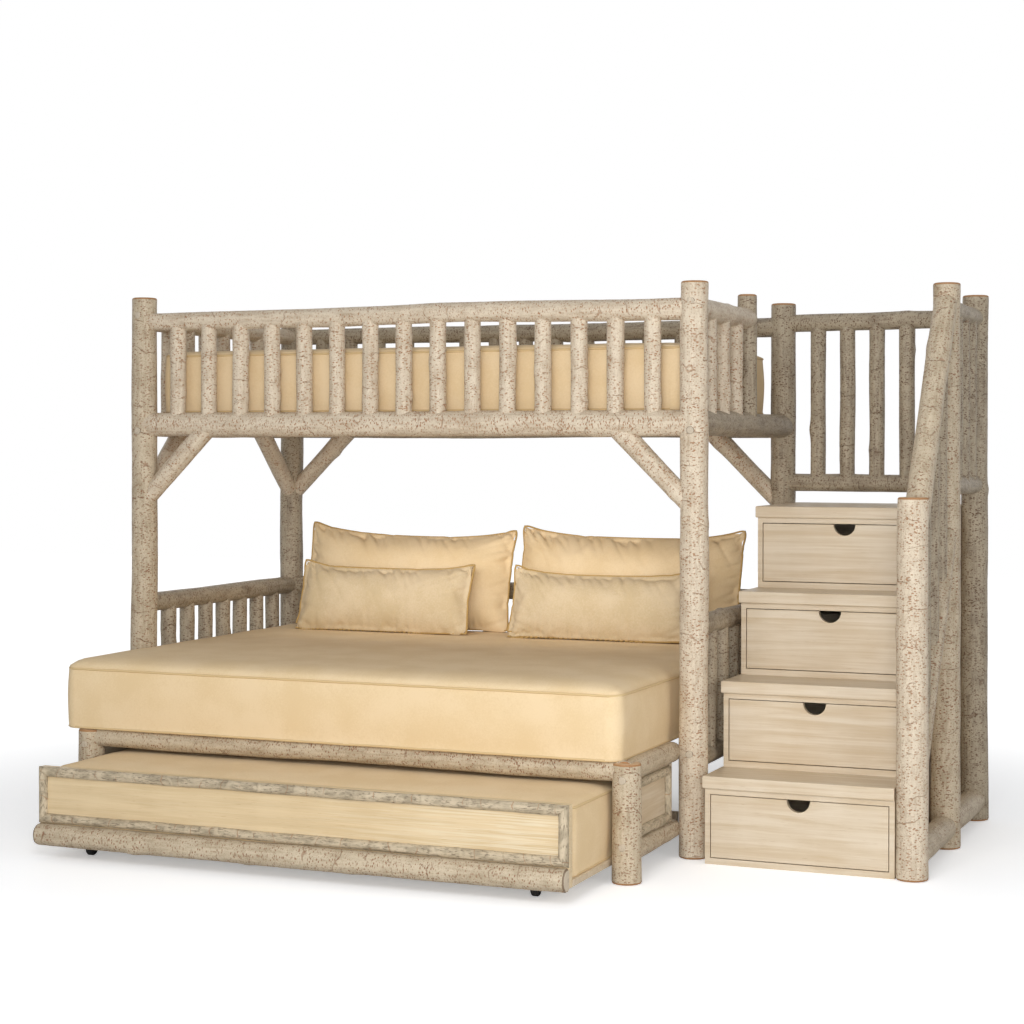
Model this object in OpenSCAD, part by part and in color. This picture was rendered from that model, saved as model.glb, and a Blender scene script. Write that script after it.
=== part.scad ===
// Bunk bed of round logs: a twin bunk over a wider day bed, a trundle on casters below it,
// and a flight of box steps with a drawer in each. Millimetres, +Z up, standing on z = 0.

/* [Bunk frame] */
// Distance between the left and right post axes
post_span_x = 1995; // [1900:5:2150]
// Distance between the front and rear post axes
post_span_y = 1065; // [980:5:1180]
// Height of the four bunk posts
post_h = 1788; // [1760:2:1860]
// Radius of a bunk post at the floor
post_foot_r = 46; // [44:0.5:48]
// Radius of a bunk post at its top
post_top_r = 43.5; // [42:0.5:46]
// Height of the axis of the lower bunk rails
bunk_rail_z = 1348; // [1320:2:1370]
// Radius of the lower bunk rails
bunk_rail_r = 41; // [38:0.5:42]
// Distance from the top of the bunk posts down to the axis of the guard rails
guard_drop = 84; // [68:2:110]
// Radius of the guard rails
guard_rail_r = 35; // [31:0.5:38]
// How much thinner the long guard rails grow towards their left ends
guard_taper = 5; // [0:0.5:6]
// Radius of the balusters of the bunk guards
baluster_r = 27; // [22:0.5:30]
// Balusters in the long guards
long_balusters = 15; // [11:1:16]
// Distance from a post axis to the nearest baluster of the long guards
long_margin = 136; // [116:2:150]
// Balusters in the left guard
left_balusters = 7; // [5:1:8]
// Distance from a post axis to the nearest baluster of the end guards
end_margin = 157; // [120:1:165]
// Balusters in the short right guard, beside the steps
right_balusters = 3; // [2:1:4]
// Distance from the front right post to the short guard post
guard_post_y = 592; // [560:4:640]
// Radius of the short guard post
guard_post_r = 34; // [30:0.5:38]
// Distance from a post axis to where a brace meets the rail axis
brace_reach = 266; // [220:2:300]
// Radius of the braces at their lower ends
brace_r = 31; // [26:0.5:33]
// How much thicker the braces grow towards their upper ends
brace_taper = 3; // [0:0.5:4]
// Depth of the chamfer at a sawn end of a post
rim = 5; // [3:0.5:8]

/* [Day bed] */
// Height of the axis of the front bed rail
bed_rail_z = 327; // [322:1:340]
// Radius of the front bed rail
bed_rail_r = 31.5; // [28:0.5:33]
// Distance from the front bunk posts forward to the leg axes
leg_y = 435; // [400:5:470]
// Distance from the left bunk posts inward to the left leg axis
leg_inset_left = 80; // [72:1:90]
// Distance from the right bunk posts inward to the right leg axis
leg_inset_right = 67; // [62:1:76]
// Height of the two front legs
leg_h = 352; // [346:1:356]
// Radius of the front legs
leg_r = 43.5; // [42:0.5:46]
// Height of the axis of the low side rail near the floor
foot_rail_z = 88; // [80:1:100]
// Radius of the low side rail near the floor
foot_rail_r = 31; // [27:0.5:33]
// Height of the axis of the sill rails between the bunk posts
sill_rail_z = 303; // [296:1:308]
// Radius of the sill rails
sill_rail_r = 31; // [28:0.5:32]
// Height of the axis of the low guard rails
low_rail_z = 728; // [700:2:760]
// Height of the axis of the low guard rail beside the steps
low_rail_right_z = 716; // [700:2:750]
// Radius of the low guard rails
low_rail_r = 33; // [30:0.5:36]
// Balusters in each low side guard
low_side_balusters = 7; // [5:1:8]
// Balusters in the low rear guard
low_rear_balusters = 13; // [9:1:15]
// Thickness of the side panels below the mattress
side_panel_t = 12; // [9:1:16]
// Radius of the half-round mouldings on the panels
moulding_r = 15; // [10:0.5:16]

/* [Slats] */
// Thickness of the slats
slat_t = 18; // [14:1:22]
// Width of a slat
slat_w = 90; // [70:2:110]
// Slats in each bed
slat_count = 13; // [9:1:15]
// Side of the square ledger strips that carry the slats
ledger = 34; // [30:1:38]

/* [Mattresses and pillows] */
// Height of the upper mattress at its seams
upper_mattress_h = 200; // [160:5:220]
// Height of the lower mattress at its seams
lower_mattress_h = 192; // [160:5:220]
// Height of the trundle mattress at its seams
trundle_mattress_h = 198; // [150:2:202]
// Rise of the crown of the upper and the trundle mattress above their seams
crown = 18; // [12:1:22]
// Rise of the crown of the lower mattress above its seams
lower_crown = 34; // [20:1:40]
// Radius of a mattress corner in plan
mattress_corner = 48; // [40:2:80]
// How far the lower mattress reaches past the leg axes at the front
mattress_front = 30; // [0:1:40]
// How far the lower mattress reaches past the left bunk post axis, in front of the posts
mattress_left = 6; // [0:1:20]
// Distance from the left bunk post axis to the end of the left large pillow
pillow_end_left = 137.5; // [120:0.5:160]
// Distance from the right bunk post axis to the end of the right large pillow
pillow_end_right = 119.5; // [100:0.5:150]
// Gap between the two large pillows
pillow_gap = 32; // [10:1:60]
// Height of a large pillow
big_pillow_h = 422; // [400:2:460]
// Thickness of a large pillow
big_pillow_t = 190; // [150:5:200]
// Width of a small pillow
small_pillow_w = 706; // [640:5:740]
// Height of a small pillow
small_pillow_h = 287; // [250:1:300]
// Thickness of a small pillow
small_pillow_t = 130; // [100:5:140]
// Thickness of the welt cord round a pillow
welt = 9; // [6:1:12]

/* [Trundle] */
// How far the trundle's front stands out from the leg axes at rest
trundle_out = 350; // [300:10:420]
// Depth of the trundle from front to back
trundle_depth = 990; // [900:10:1040]
// Thickness of the trundle's front and boards
trundle_board = 26; // [18:1:32]
// Thickness of the trundle's deck
deck_t = 20; // [15:1:24]
// Height of the deck's underside above the floor
deck_z = 48; // [48:1:56]
// Height of the trundle front's top edge
trundle_top_z = 281; // [270:1:288]
// Radius of the log along the foot of the trundle's front
trundle_log_r = 33.5; // [28:0.5:36]
// How far the axis of that log lies in front of the trundle's face
trundle_log_out = 7; // [0:1:12]
// Height of the axis of that log
trundle_log_z = 73; // [60:1:78]
// Radius of a caster wheel
wheel_r = 22; // [19:0.5:22.5]
// Width of a caster wheel
wheel_w = 22; // [14:1:26]
// Radius of a caster axle
axle_r = 3; // [2:0.5:4]

/* [Steps] */
// Width of the step boxes
stair_w = 582; // [560:2:640]
// Gap between the bunk posts and the step boxes
stair_gap = 16; // [8:1:24]
// How far the lowest step stands in front of the bunk posts
stair_front = 81; // [60:1:100]
// Height of one step
rise = 269.5; // [262:0.5:274]
// Depth of one step
run = 197; // [185:1:205]
// Thickness of the treads
tread_t = 38; // [30:1:42]
// How far a tread stands out at the front
tread_nose = 10; // [5:1:16]
// How far a tread stands out at the left side
tread_side = 6; // [3:1:10]
// Depth of the step boxes from front to back
stair_depth = 1121; // [1090:1:1135]
// Thickness of the sides of the step boxes
side_t = 16; // [14:1:22]
// Thickness of the shelves and the back of the step boxes
shelf_t = 19; // [15:1:22]
// Height of the rail between a tread and its drawer
drawer_rail_h = 17; // [12:1:24]
// Gap round a drawer front
drawer_gap = 2.5; // [1:0.5:3]
// Depth of a drawer
drawer_depth = 430; // [360:10:480]
// Thickness of a drawer front
drawer_front_t = 19; // [16:1:22]
// Thickness of the sides of a drawer
drawer_side_t = 13; // [10:1:16]
// Height of the sides of a drawer
drawer_side_h = 150; // [120:2:165]
// Radius of the finger notch
notch_r = 36; // [28:1:42]

/* [Step rails] */
// Radius of the rail posts at the floor
rail_post_foot_r = 48; // [45:0.5:50]
// Radius of the rail posts at the top
rail_post_top_r = 43; // [41:0.5:46]
// Height of the short front newel
newel_h = 1127; // [1100:2:1160]
// Height of the tall middle post
tall_post_h = 1797; // [1770:2:1830]
// Height of the rear rail post
rear_post_h = 1794; // [1770:2:1830]
// Distance of the newel axis behind the front of the lowest step
newel_setback = 19; // [10:1:30]
// Distance of the tall post axis behind the newel axis
tall_post_step = 525; // [500:5:550]
// Distance of the rear post axis behind the tall post axis
rear_post_step = 534; // [500:5:550]
// Radius of the rails at the foot of the posts
base_rail_r = 40; // [34:0.5:42]
// Height of the axis of the rails at the foot
base_rail_z = 68; // [60:1:80]
// Height of the handrail's axis at the newel
handrail_low_z = 995; // [980:1:1020]
// Height of the handrail's axis at the tall post
handrail_high_z = 1754; // [1720:1:1758]
// Radius of the handrail
handrail_r = 37; // [33:0.5:40]
// Height of the sloping lower rail's axis at the newel
slope_low_z = 261; // [240:1:300]
// Height of the sloping lower rail's axis at the tall post
slope_high_z = 1021; // [990:1:1050]
// Radius of the sloping lower rail
slope_r = 38; // [33:0.5:40]
// Height of the landing's top rails
landing_top_z = 1716; // [1690:1:1730]
// Height of the landing's bottom rails
landing_low_z = 1148; // [1130:1:1170]
// Radius of the landing's rails
landing_rail_r = 31; // [27:0.5:33]
// Balusters beside the steps
stair_balusters = 3; // [2:1:4]
// Balusters at the side of the landing
side_balusters = 3; // [2:1:4]
// Balusters at the rear of the landing
rear_balusters = 5; // [3:1:6]
// Distance from a post axis to the nearest baluster at the rear of the landing
landing_margin = 131; // [105:1:145]

/* [Fits] */
// Gap between a coped log end and the log it seats on
seat = 0.2; // [0.1:0.05:0.3]
// Gap between a soft piece and what it rests on
rest = 0.3; // [0.3:0.1:0.6]
// Gap between the trundle and each leg
trundle_side_gap = 3; // [2:0.5:6]
// Gap between a mattress and the posts or rails round it
mattress_gap = 5; // [4:1:10]
// Running gap under a drawer
drawer_lift = 0.4; // [0.3:0.1:0.8]
// Running gap round a caster axle
axle_gap = 0.1; // [0.08:0.01:0.1]
// Diameter of the wooden plugs that cover the bolts
plug_d = 25; // [20:1:28]
// Depth of a plug below the bark
plug_depth = 12; // [8:1:14]
// Offset of a plug from the axis of its rail
plug_shift = 22; // [14:1:26]

/* [Hidden] */
$fn = 40;
bark = "#cdbda6";
bark_dark = "#b3a48f";
birch = "#dcc39a";
cloth = "#d8bd8a";
cloth_small = "#cfb38c";
iron = "#26262a";

// Post axes in plan, measured from the front right post
x_right = 0;
x_left = -post_span_x;
y_front = 0;
y_rear = post_span_y;

// Widths that follow from the posts and the legs
leg_x_right = x_right - leg_inset_right;
leg_x_left = x_left + leg_inset_left;
leg_axis_y = y_front - leg_y;
trundle_x1 = leg_x_right - leg_r - trundle_side_gap;
trundle_x0 = leg_x_left + leg_r + trundle_side_gap;
trundle_w = trundle_x1 - trundle_x0;
trundle_y0 = leg_axis_y - trundle_out;
trundle_y1 = trundle_y0 + trundle_depth;

// Step boxes
stair_x0 = x_right + post_foot_r + stair_gap;
stair_x1 = stair_x0 + stair_w;
stair_y0 = y_front - stair_front;
stair_y1 = stair_y0 + stair_depth;
steps = 4;
function step_y(i) = stair_y0 + i * run;
rail_x = stair_x1 + rail_post_foot_r + seat;
newel_y = stair_y0 + newel_setback;
tall_y = newel_y + tall_post_step;
rear_y = tall_y + rear_post_step;

// The part stands with the middle of its outline over the origin
mid_x = (x_left - post_foot_r + rail_x + rail_post_foot_r) / 2;
mid_y = (trundle_y0 - trundle_log_out - trundle_log_r + y_rear + post_foot_r) / 2;
module placed() translate([-mid_x, -mid_y, 0]) children();

// Height of the axis of the guard rails
guard_rail_z = post_h - guard_drop;

// Upright log with a slight taper and a chamfered rim at both sawn ends
module post(x, y, h, r0, r1, z0 = 0, grow = 0) {
    translate([x, y, z0])
        rotate_extrude()
            polygon([[0, 0], [r0 - rim + grow, 0], [r0 + grow, rim],
                     [r1 + grow, h - rim], [r1 - rim + grow, h], [0, h]]);
}

// Round log between two points; taper makes it thicker at b than at a
module log_between(a, b, r, grow = 0, taper = 0) {
    v = b - a;
    translate(a)
        rotate([0, acos(v[2] / norm(v)), atan2(v[1], v[0])])
            cylinder(h = norm(v), r1 = r + grow, r2 = r + taper + grow);
}

module bunk_post(x, y, grow = 0) post(x, y, post_h, post_foot_r, post_top_r, 0, grow);
module leg(x, grow = 0) post(x, leg_axis_y, leg_h, leg_r, leg_r - 1, 0, grow);
module rail_post(y, h, grow = 0) post(rail_x, y, h, rail_post_foot_r, rail_post_top_r, 0, grow);

// Logs that run along the front or the rear, and along an end
module rail_x_log(y, z, r, grow = 0) log_between([x_left, y, z], [x_right, y, z], r, grow);
module guard_x_log(y, grow = 0) {
    log_between([x_left, y, guard_rail_z], [x_right, y, guard_rail_z],
                guard_rail_r - guard_taper, grow, guard_taper);
}
module rail_y_log(x, z, r, grow = 0) log_between([x, y_front, z], [x, y_rear, z], r, grow);

// All four bunk posts, grown by the seat, to cope the logs that end on them
module post_copes() for (x = [x_left, x_right], y = [y_front, y_rear]) bunk_post(x, y, seat);

// Front and rear logs are coped to the posts, and end logs to the posts and the long logs
module long_rail(y, z, r) {
    difference() {
        rail_x_log(y, z, r);
        post_copes();
    }
}
module end_rail(x, z, r, long_r) {
    difference() {
        rail_y_log(x, z, r);
        post_copes();
        for (y = [y_front, y_rear]) rail_x_log(y, z, long_r, seat);
    }
}

// Places of balusters spread evenly between two ends
function spread(a, b, n) = [for (i = [1:n]) a + (b - a) * i / (n + 1)];
function spread_within(a, b, n, m) = [for (i = [0:n - 1]) a + m + (b - a - 2 * m) * i / (n - 1)];

// Baluster coped to the rail above it and the rail below it
module baluster_x(x, y, low_z, low_r, high_z, high_r, r) {
    difference() {
        log_between([x, y, low_z], [x, y, high_z], r);
        rail_x_log(y, low_z, low_r, seat);
        rail_x_log(y, high_z, high_r, seat);
    }
}
module baluster_y(x, y, low_z, low_r, high_z, high_r, r) {
    difference() {
        log_between([x, y, low_z], [x, y, high_z], r);
        rail_y_log(x, low_z, low_r, seat);
        rail_y_log(x, high_z, high_r, seat);
    }
}

// Bore for a wooden plug in the front of a post whose radius there is r
module plug_bore(x, y, z, r) {
    translate([x, y - r + plug_depth, z])
        rotate([90, 0, 0])
            cylinder(h = plug_depth + r, d = plug_d);
}
post_plug_zs = [sill_rail_z + plug_shift, bunk_rail_z - plug_shift, guard_rail_z + plug_shift];
leg_plug_zs = [foot_rail_z + plug_shift, bed_rail_z - plug_shift];
function post_r_at(z) = post_foot_r + (post_top_r - post_foot_r) * z / post_h;

// Bunk posts
module front_post(x) {
    difference() {
        bunk_post(x, y_front);
        for (z = post_plug_zs) plug_bore(x, y_front, z, post_r_at(z));
    }
}
module post_front_left() color(bark) placed() front_post(x_left);
module post_front_right() color(bark) placed() front_post(x_right);
module post_rear_left() color(bark_dark) placed() bunk_post(x_left, y_rear);
module post_rear_right() color(bark_dark) placed() bunk_post(x_right, y_rear);

module short_post(grow = 0) {
    post(x_right, guard_post_y, post_h - bunk_rail_z, guard_post_r, guard_post_r - 1, bunk_rail_z, grow);
}
module guard_post() color(bark) placed()
    difference() {
        short_post();
        rail_y_log(x_right, bunk_rail_z, bunk_rail_r, seat);
    }

// Lower bunk rails
module bunk_rail_front() color(bark) placed() long_rail(y_front, bunk_rail_z, bunk_rail_r);
module bunk_rail_rear() color(bark_dark) placed() long_rail(y_rear, bunk_rail_z, bunk_rail_r);
module bunk_rail_left() color(bark) placed() end_rail(x_left, bunk_rail_z, bunk_rail_r, bunk_rail_r);
module bunk_rail_right() color(bark_dark) placed() end_rail(x_right, bunk_rail_z, bunk_rail_r, bunk_rail_r);

// Guard rails
module long_guard(y) {
    difference() {
        guard_x_log(y);
        post_copes();
    }
}
module guard_rail_front() color(bark) placed() long_guard(y_front);
module guard_rail_rear() color(bark_dark) placed() long_guard(y_rear);
module guard_rail_left() color(bark) placed()
    difference() {
        rail_y_log(x_left, guard_rail_z, guard_rail_r - guard_taper);
        post_copes();
    }
module guard_rail_right() color(bark) placed()
    difference() {
        log_between([x_right, y_front, guard_rail_z], [x_right, guard_post_y, guard_rail_z], guard_rail_r);
        post_copes();
        guard_x_log(y_front, seat);
        short_post(seat);
    }

// Balusters of the bunk guards
module guard_baluster_row(y) {
    for (x = spread_within(x_left, x_right, long_balusters, long_margin))
        difference() {
            log_between([x, y, bunk_rail_z], [x, y, guard_rail_z], baluster_r);
            rail_x_log(y, bunk_rail_z, bunk_rail_r, seat);
            guard_x_log(y, seat);
        }
}
module balusters_front() color(bark) placed() guard_baluster_row(y_front);
module balusters_rear() color(bark_dark) placed() guard_baluster_row(y_rear);
module balusters_ends() color(bark) placed() {
    for (y = spread_within(y_front, y_rear, left_balusters, end_margin))
        baluster_y(x_left, y, bunk_rail_z, bunk_rail_r, guard_rail_z, guard_rail_r - guard_taper, baluster_r);
    for (y = spread(y_front, guard_post_y, right_balusters))
        baluster_y(x_right, y, bunk_rail_z, bunk_rail_r, guard_rail_z, guard_rail_r, baluster_r);
}

// Braces at 45 degrees, coped to their post and their rail
module brace_along_x(x, y, side, more = 0) {
    reach = brace_reach + more;
    difference() {
        log_between([x, y, bunk_rail_z - reach], [x + side * reach, y, bunk_rail_z],
                    brace_r, 0, brace_taper);
        bunk_post(x, y, seat);
        rail_x_log(y, bunk_rail_z, bunk_rail_r, seat);
    }
}
module brace_along_y(x, y, side) {
    difference() {
        log_between([x, y, bunk_rail_z - brace_reach], [x, y + side * brace_reach, bunk_rail_z],
                    brace_r, 0, brace_taper);
        bunk_post(x, y, seat);
        rail_y_log(x, bunk_rail_z, bunk_rail_r, seat);
    }
}
module braces() color(bark_dark) placed() {
    brace_along_x(x_left, y_front, 1);
    brace_along_x(x_left, y_rear, 1);
    brace_along_x(x_right, y_front, -1);
    brace_along_x(x_right, y_rear, -1, 16);
    brace_along_y(x_left, y_front, 1);
    brace_along_y(x_left, y_rear, -1);
}

// Slats lie level with the top of the long rails, on ledgers screwed inside them
bunk_slat_z = bunk_rail_z + bunk_rail_r + 1 - slat_t;
bed_slat_z = bed_rail_z + bed_rail_r + 1 - slat_t;
module slat_row(x0, x1, y0, y1, z) {
    for (x = spread(x0, x1, slat_count))
        translate([x - slat_w / 2, y0, z])
            cube([slat_w, y1 - y0, slat_t]);
}
module bunk_slats() color(birch) placed()
    slat_row(x_left, x_right, y_front + bunk_rail_r + 1, y_rear - bunk_rail_r - 1, bunk_slat_z);
module bed_slats() color(birch) placed()
    slat_row(leg_x_left, leg_x_right, leg_axis_y + bed_rail_r + 1, y_rear - sill_rail_r - 1, bed_slat_z);

// Ledger strip coped to the inner side of a log rail, clear of the balusters over it
module ledger_strip(x0, x1, y, side, rail_z, rail_r, top_z) {
    inner = baluster_r + 2 * seat;
    outer = rail_r + ledger;
    difference() {
        translate([x0, side > 0 ? y + inner : y - outer, top_z - ledger])
            cube([x1 - x0, outer - inner, ledger]);
        log_between([x0 - 1, y, rail_z], [x1 + 1, y, rail_z], rail_r, seat);
        post_copes();
    }
}
module slat_ledgers() color(birch) placed() {
    inner_x0 = x_left + post_foot_r;
    inner_x1 = x_right - post_foot_r;
    ledger_strip(inner_x0, inner_x1, y_front, 1, bunk_rail_z, bunk_rail_r, bunk_slat_z);
    ledger_strip(inner_x0, inner_x1, y_rear, -1, bunk_rail_z, bunk_rail_r, bunk_slat_z);
    ledger_strip(inner_x0, inner_x1, y_rear, -1, sill_rail_z, sill_rail_r, bed_slat_z);
    ledger_strip(leg_x_left + leg_r, leg_x_right - leg_r, leg_axis_y, 1, bed_rail_z, bed_rail_r, bed_slat_z);
}

// Front legs and front rail of the day bed
module bored_leg(x) {
    difference() {
        leg(x);
        for (z = leg_plug_zs) plug_bore(x, leg_axis_y, z, leg_r - z / leg_h);
    }
}
module leg_left() color(bark) placed() bored_leg(leg_x_left);
module leg_right() color(bark) placed() bored_leg(leg_x_right);
module front_rail_log(grow = 0) {
    log_between([leg_x_left, leg_axis_y, bed_rail_z], [leg_x_right, leg_axis_y, bed_rail_z], bed_rail_r, grow);
}
module bed_rail_front() color(bark) placed()
    difference() {
        front_rail_log();
        for (x = [leg_x_left, leg_x_right]) leg(x, seat);
    }

// Side rails from each leg back to its bunk post
side_rail_end = y_front - 8;
module side_log(x, z, r, grow = 0) log_between([x, leg_axis_y, z], [x, side_rail_end, z], r, grow);
module side_rail(x, post_x, z, r) {
    difference() {
        side_log(x, z, r);
        leg(x, seat);
        bunk_post(post_x, y_front, seat);
        front_rail_log(seat);
    }
}
module bed_side_rails() color(bark) placed() {
    for (side = [[leg_x_left, x_left], [leg_x_right, x_right]]) {
        side_rail(side[0], side[1], bed_rail_z - 1, bed_rail_r);
        side_rail(side[0], side[1], foot_rail_z, foot_rail_r);
    }
}

// Panel between the side rails, with a stile board at its rear end
panel_y0 = leg_axis_y + leg_r + 1;
panel_y1 = y_front - post_foot_r - 2;
stile_w = 20;
stile_t = 24;
module side_panel(x) {
    difference() {
        union() {
            translate([x - side_panel_t / 2, leg_axis_y, foot_rail_z])
                cube([side_panel_t, panel_y1 - leg_axis_y, bed_rail_z - foot_rail_z]);
            translate([x - stile_t / 2, panel_y1 - stile_w, foot_rail_z])
                cube([stile_t, stile_w, bed_rail_z - foot_rail_z]);
        }
        leg(x, seat);
        side_log(x, bed_rail_z - 1, bed_rail_r, seat);
        side_log(x, foot_rail_z, foot_rail_r, seat);
    }
}
module bed_side_panels() color(birch) placed() {
    side_panel(leg_x_left);
    side_panel(leg_x_right);
}

// Half-round moulding laid round a rectangle, with mitred corners.
// The rectangle spans [w, h] in X and Y, and the flat of the moulding lies on z = 0.
module half_round(length, r) {
    rotate([0, 90, 0])
        rotate([0, 0, 90])
            difference() {
                cylinder(h = length, r = r);
                translate([-r - 1, -r - 1, -1]) cube([2 * r + 2, r + 1, length + 2]);
            }
}
module mitred_strip(length, r) {
    difference() {
        translate([0, r, 0]) half_round(length, r);
        rotate([0, 0, 45]) translate([-4 * r, 0, -1]) cube([8 * r, 4 * r, r + 2]);
        translate([length, 0, 0]) rotate([0, 0, -45]) translate([-4 * r, 0, -1]) cube([8 * r, 4 * r, r + 2]);
    }
}
module moulding_frame(w, h, r) {
    mitred_strip(w, r);
    translate([w, h, 0]) rotate([0, 0, 180]) mitred_strip(w, r);
    translate([w, 0, 0]) rotate([0, 0, 90]) mitred_strip(h, r);
    translate([0, h, 0]) rotate([0, 0, -90]) mitred_strip(h, r);
}

// Mouldings round the side panels, on their outer faces
side_mould_y0 = leg_axis_y + leg_r + 2;
side_mould_y1 = panel_y1 - stile_w - 1;
side_mould_z0 = foot_rail_z + foot_rail_r + 1;
side_mould_z1 = bed_rail_z - bed_rail_r - 2;
module side_moulding(x, side) {
    translate([x + side * (side_panel_t / 2 + seat), side > 0 ? side_mould_y0 : side_mould_y1, side_mould_z0])
        rotate([90, 0, side > 0 ? 90 : -90])
            moulding_frame(side_mould_y1 - side_mould_y0, side_mould_z1 - side_mould_z0, moulding_r);
}
module bed_side_mouldings() color(bark_dark) placed() {
    side_moulding(leg_x_left, -1);
    side_moulding(leg_x_right, 1);
}

// Low guard round the day bed and the sill rails under it
module low_rail_left() color(bark_dark) placed() end_rail(x_left, low_rail_z, low_rail_r, low_rail_r);
module low_rail_right() color(bark_dark) placed()
    difference() {
        rail_y_log(x_right, low_rail_right_z, low_rail_r);
        post_copes();
    }
module low_rail_rear() color(bark_dark) placed() long_rail(y_rear, low_rail_z, low_rail_r);
module sill_rails() color(bark_dark) placed() {
    long_rail(y_rear, sill_rail_z, sill_rail_r);
    for (x = [x_left, x_right])
        difference() {
            rail_y_log(x, sill_rail_z, sill_rail_r);
            post_copes();
            rail_x_log(y_rear, sill_rail_z, sill_rail_r, seat);
        }
}
module low_balusters() color(bark_dark) placed() {
    for (x = spread_within(x_left, x_right, low_rear_balusters, long_margin))
        baluster_x(x, y_rear, sill_rail_z, sill_rail_r, low_rail_z, low_rail_r, baluster_r);
    for (y = spread_within(y_front, y_rear, low_side_balusters, end_margin)) {
        baluster_y(x_left, y, sill_rail_z, sill_rail_r, low_rail_z, low_rail_r, baluster_r);
        baluster_y(x_right, y, sill_rail_z, sill_rail_r, low_rail_right_z, low_rail_r, baluster_r);
    }
}

// Outline of a rectangle with round corners, seen from above, as points
corner_steps = 7;
function round_rect(w, d, r) = [
    for (c = [[1, 1, 0], [-1, 1, 90], [-1, -1, 180], [1, -1, 270]])
        for (k = [0:corner_steps])
            let (a = c[2] + 90 * k / corner_steps)
                [c[0] * (w / 2 - r) + r * cos(a), c[1] * (d / 2 - r) + r * sin(a)]
];

// Faces between stacked rings of n points, closed by the first and the last ring
function ring_faces(n, m) = concat(
    [for (j = [0:m - 2]) for (i = [0:n - 1]) let (k = (i + 1) % n) [j * n + i, (j + 1) * n + k, j * n + k]],
    [for (j = [0:m - 2]) for (i = [0:n - 1]) let (k = (i + 1) % n) [j * n + i, (j + 1) * n + i, (j + 1) * n + k]],
    [for (i = [1:n - 2]) [0, i, i + 1]],
    [for (i = [1:n - 2]) [(m - 1) * n, (m - 1) * n + i + 1, (m - 1) * n + i]]
);

// Boxed mattress: welted seams at top and bottom, sides that swell between them, a crowned top.
// Each ring is [inset from the outline, height].
module mattress_form(w, d, h, crown) {
    swell = 5;
    cord = 5;
    rings = [
        [3 * cord, 0], [swell + cord, 0], [swell, cord], [swell + 2, 2 * cord],
        [0.4 * swell, h * 0.25], [0, h * 0.5], [0.4 * swell, h * 0.75],
        [swell + 2, h - 2 * cord], [swell, h - cord], [swell + 0.6 * cord, h],
        [3 * cord, h], [35, h + 0.62 * crown], [65, h + 0.88 * crown],
        [130, h + 0.97 * crown], [260, h + crown]
    ];
    points = [
        for (ring = rings)
            for (p = round_rect(w - 2 * ring[0], d - 2 * ring[0], max(mattress_corner - 0.5 * ring[0], 12)))
                [p[0], p[1], ring[1]]
    ];
    n = 4 * (corner_steps + 1);
    polyhedron(points, ring_faces(n, len(rings)));
}

upper_mattress_z = bunk_slat_z + slat_t;
upper_x0 = x_left + baluster_r + mattress_gap;
upper_x1 = x_right - bunk_rail_r - mattress_gap;
module upper_mattress() color(cloth) placed()
    translate([(upper_x0 + upper_x1) / 2, (y_front + y_rear) / 2, upper_mattress_z])
        mattress_form(upper_x1 - upper_x0, post_span_y - 2 * (bunk_rail_r + mattress_gap),
                      upper_mattress_h, crown);

// The lower mattress lies off-centre. It overhangs the left leg, and behind its front edge the
// left posts and balusters press it in.
lower_mattress_z = bed_slat_z + slat_t;
lower_x0 = x_left - mattress_left;
lower_x1 = leg_x_right - 14;
lower_y0 = leg_axis_y - mattress_front;
lower_y1 = y_rear - low_rail_r - mattress_gap;
module lower_mattress() color(cloth) placed()
    difference() {
        translate([(lower_x0 + lower_x1) / 2, (lower_y0 + lower_y1) / 2, lower_mattress_z])
            mattress_form(lower_x1 - lower_x0, lower_y1 - lower_y0, lower_mattress_h, lower_crown);
        post_copes();
        translate([x_left - post_span_x, y_front, 0])
            cube([post_span_x + baluster_r + rest, post_span_y, post_h]);
    }

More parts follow.
